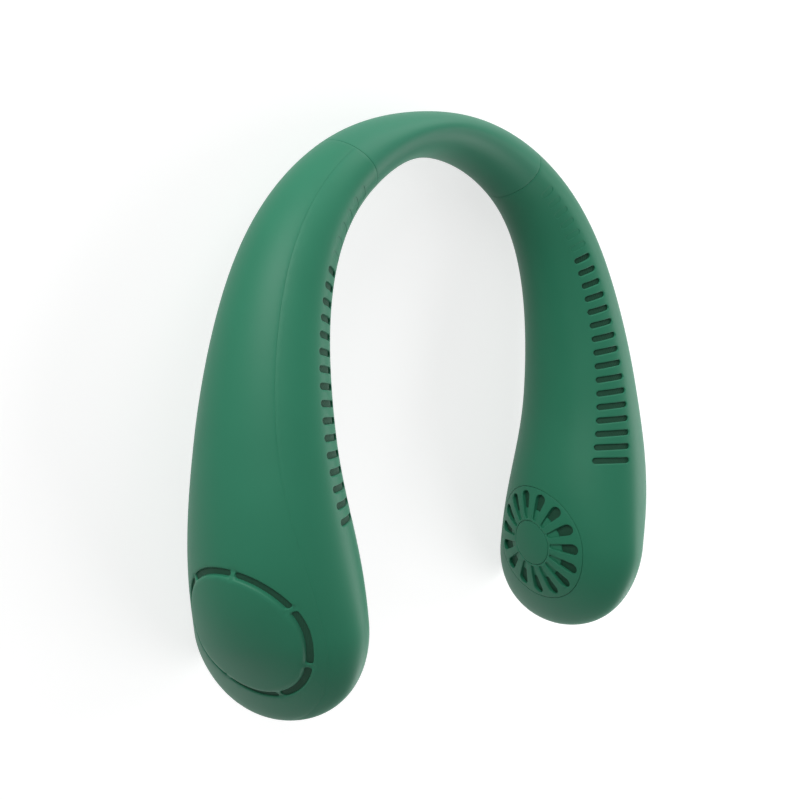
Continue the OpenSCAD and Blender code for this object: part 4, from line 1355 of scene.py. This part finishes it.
def aimed_camera(set_up):
    """The camera fitted to the photograph: it stands round a point before the band, turned about
    its own line and shifted along its own axes."""
    az, el, roll = set_up.azimuth, set_up.elevation, set_up.roll
    back = np.array([-math.cos(az) * math.cos(el), math.sin(el), math.sin(az) * math.cos(el)])
    right = np.cross(-back, [0, 1, 0])
    right /= np.linalg.norm(right)
    up = np.cross(right, -back)
    x = math.cos(roll) * right + math.sin(roll) * up
    y = -math.sin(roll) * right + math.cos(roll) * up
    target = np.array(CAMERA_TARGET) + CAMERA_SHIFT[0] * x + CAMERA_SHIFT[1] * y
    place = target + back * set_up.distance + BACK
    data = bpy.data.cameras.new("studio_camera")
    data.lens, data.sensor_width = set_up.lens, 36
    data.clip_start, data.clip_end = 0.01, 20
    camera = put("studio_camera", data)
    rows = [[x[i], y[i], back[i], place[i]] for i in range(3)]
    camera.matrix_world = Matrix(rows + [[0, 0, 0, 1]])
    return camera


def white_world(set_up):
    """White where it is seen, and an even dim light on everything else."""
    world = bpy.data.worlds.new("studio_world")
    world.use_nodes = True
    tree = world.node_tree
    tree.nodes.clear()
    sky, white = (wired(tree, "Background", "Background", (1, 1, 1, 1), power)
                  for power in (set_up.sky, 1))
    shown = wired(tree, "MixShader", "Shader", seen_rays(tree), sky, white)
    feed(tree, tree.nodes.new("ShaderNodeOutputWorld"), shown)
    return world


def paper_floor(set_up):
    """A round floor, its rings facing up, whose seen face glows, and glows white away from the
    fan."""
    parts = MeshParts()
    t = np.arange(96) * TURN / 96
    ring = np.stack([np.cos(t), np.sin(t), 0 * t], -1)
    radii = np.linspace(0, FLOOR_RADIUS, 12)[:, None, None]
    parts.grid(radii * ring - BACK, close_columns=True, flip=True)
    floor = parts.build("studio_floor")
    made, tree, shader = blank("floor_paper")
    feed(tree, shader, Base_Color=(*set_up.floor, 1), Roughness=0.9)
    away = wired(tree, "VectorMath", "Value", wired(tree, "TexCoord", "Object"),
                options={"operation": "LENGTH"})
    lift = wired(tree, "MapRange", "Result", Value=away, From_Min=GLOW_START, From_Max=GLOW_END,
                To_Min=set_up.floor_glow, To_Max=1)
    paper = shader.outputs["BSDF"]
    glow = wired(tree, "Emission", "Emission", Strength=lift)
    both = wired(tree, "AddShader", "Shader", paper, glow)
    feed(tree, tree.nodes["Material Output"],
         wired(tree, "MixShader", "Shader", seen_rays(tree), paper, both))
    floor.data.materials.append(made)
    return floor


def seen_rays(tree):
    """1 for the rays that show the background: camera, glossy and transmission rays."""
    path = tree.nodes.new("ShaderNodeLightPath").outputs
    shown = path["Is Camera Ray"]
    for kind in ("Is Glossy Ray", "Is Transmission Ray"):
        shown = wired(tree, "Math", "Value", shown, path[kind], options={"operation": "MAXIMUM"})
    return shown


class NECKFAN_PT_panel(bpy.types.Panel):
    """Lists the fan's pieces and their sizes"""

    bl_label = "Neck Fan"
    bl_idname = "NECKFAN_PT_panel"
    bl_space_type = "VIEW_3D"
    bl_region_type = "UI"
    bl_category = "Neck Fan"

    def draw(self, context):
        layout = self.layout
        for operator in OPERATORS:
            layout.operator(operator.bl_idname)
        for group in PROPERTY_GROUPS.values():
            settings = getattr(context.scene, group)
            box = layout.box()
            for name in settings.bl_rna.properties.keys():
                if name not in ("rna_type", "name"):
                    box.prop(settings, name)


OPERATORS = (
    NECKFAN_OT_outer_shells, NECKFAN_OT_inner_shells, NECKFAN_OT_grilles, NECKFAN_OT_band,
    NECKFAN_OT_controls, NECKFAN_OT_inner_works, NECKFAN_OT_studio,
)
PROPERTY_GROUPS = {
    ArmForm: "neck_fan_arm", SlotForm: "neck_fan_slots", GrilleForm: "neck_fan_grille",
    CoverForm: "neck_fan_cover", ControlForm: "neck_fan_controls", FinishSet: "neck_fan_finish",
    StudioSet: "neck_fan_studio",
}


def register():
    for group, name in PROPERTY_GROUPS.items():
        bpy.utils.register_class(group)
        setattr(bpy.types.Scene, name, PointerProperty(type=group))
    for operator in OPERATORS:
        bpy.utils.register_class(operator)
    bpy.utils.register_class(NECKFAN_PT_panel)


def unregister():
    bpy.utils.unregister_class(NECKFAN_PT_panel)
    for operator in reversed(OPERATORS):
        bpy.utils.unregister_class(operator)
    for group, name in reversed(PROPERTY_GROUPS.items()):
        delattr(bpy.types.Scene, name)
        bpy.utils.unregister_class(group)


def main():
    """Builds every piece in order."""
    register()
    bpy.ops.neck_fan.outer_shells()
    bpy.ops.neck_fan.inner_shells()
    bpy.ops.neck_fan.grilles()
    bpy.ops.neck_fan.band()
    bpy.ops.neck_fan.controls()
    bpy.ops.neck_fan.inner_works()
    bpy.ops.neck_fan.studio()


if __name__ == "__main__":
    main()
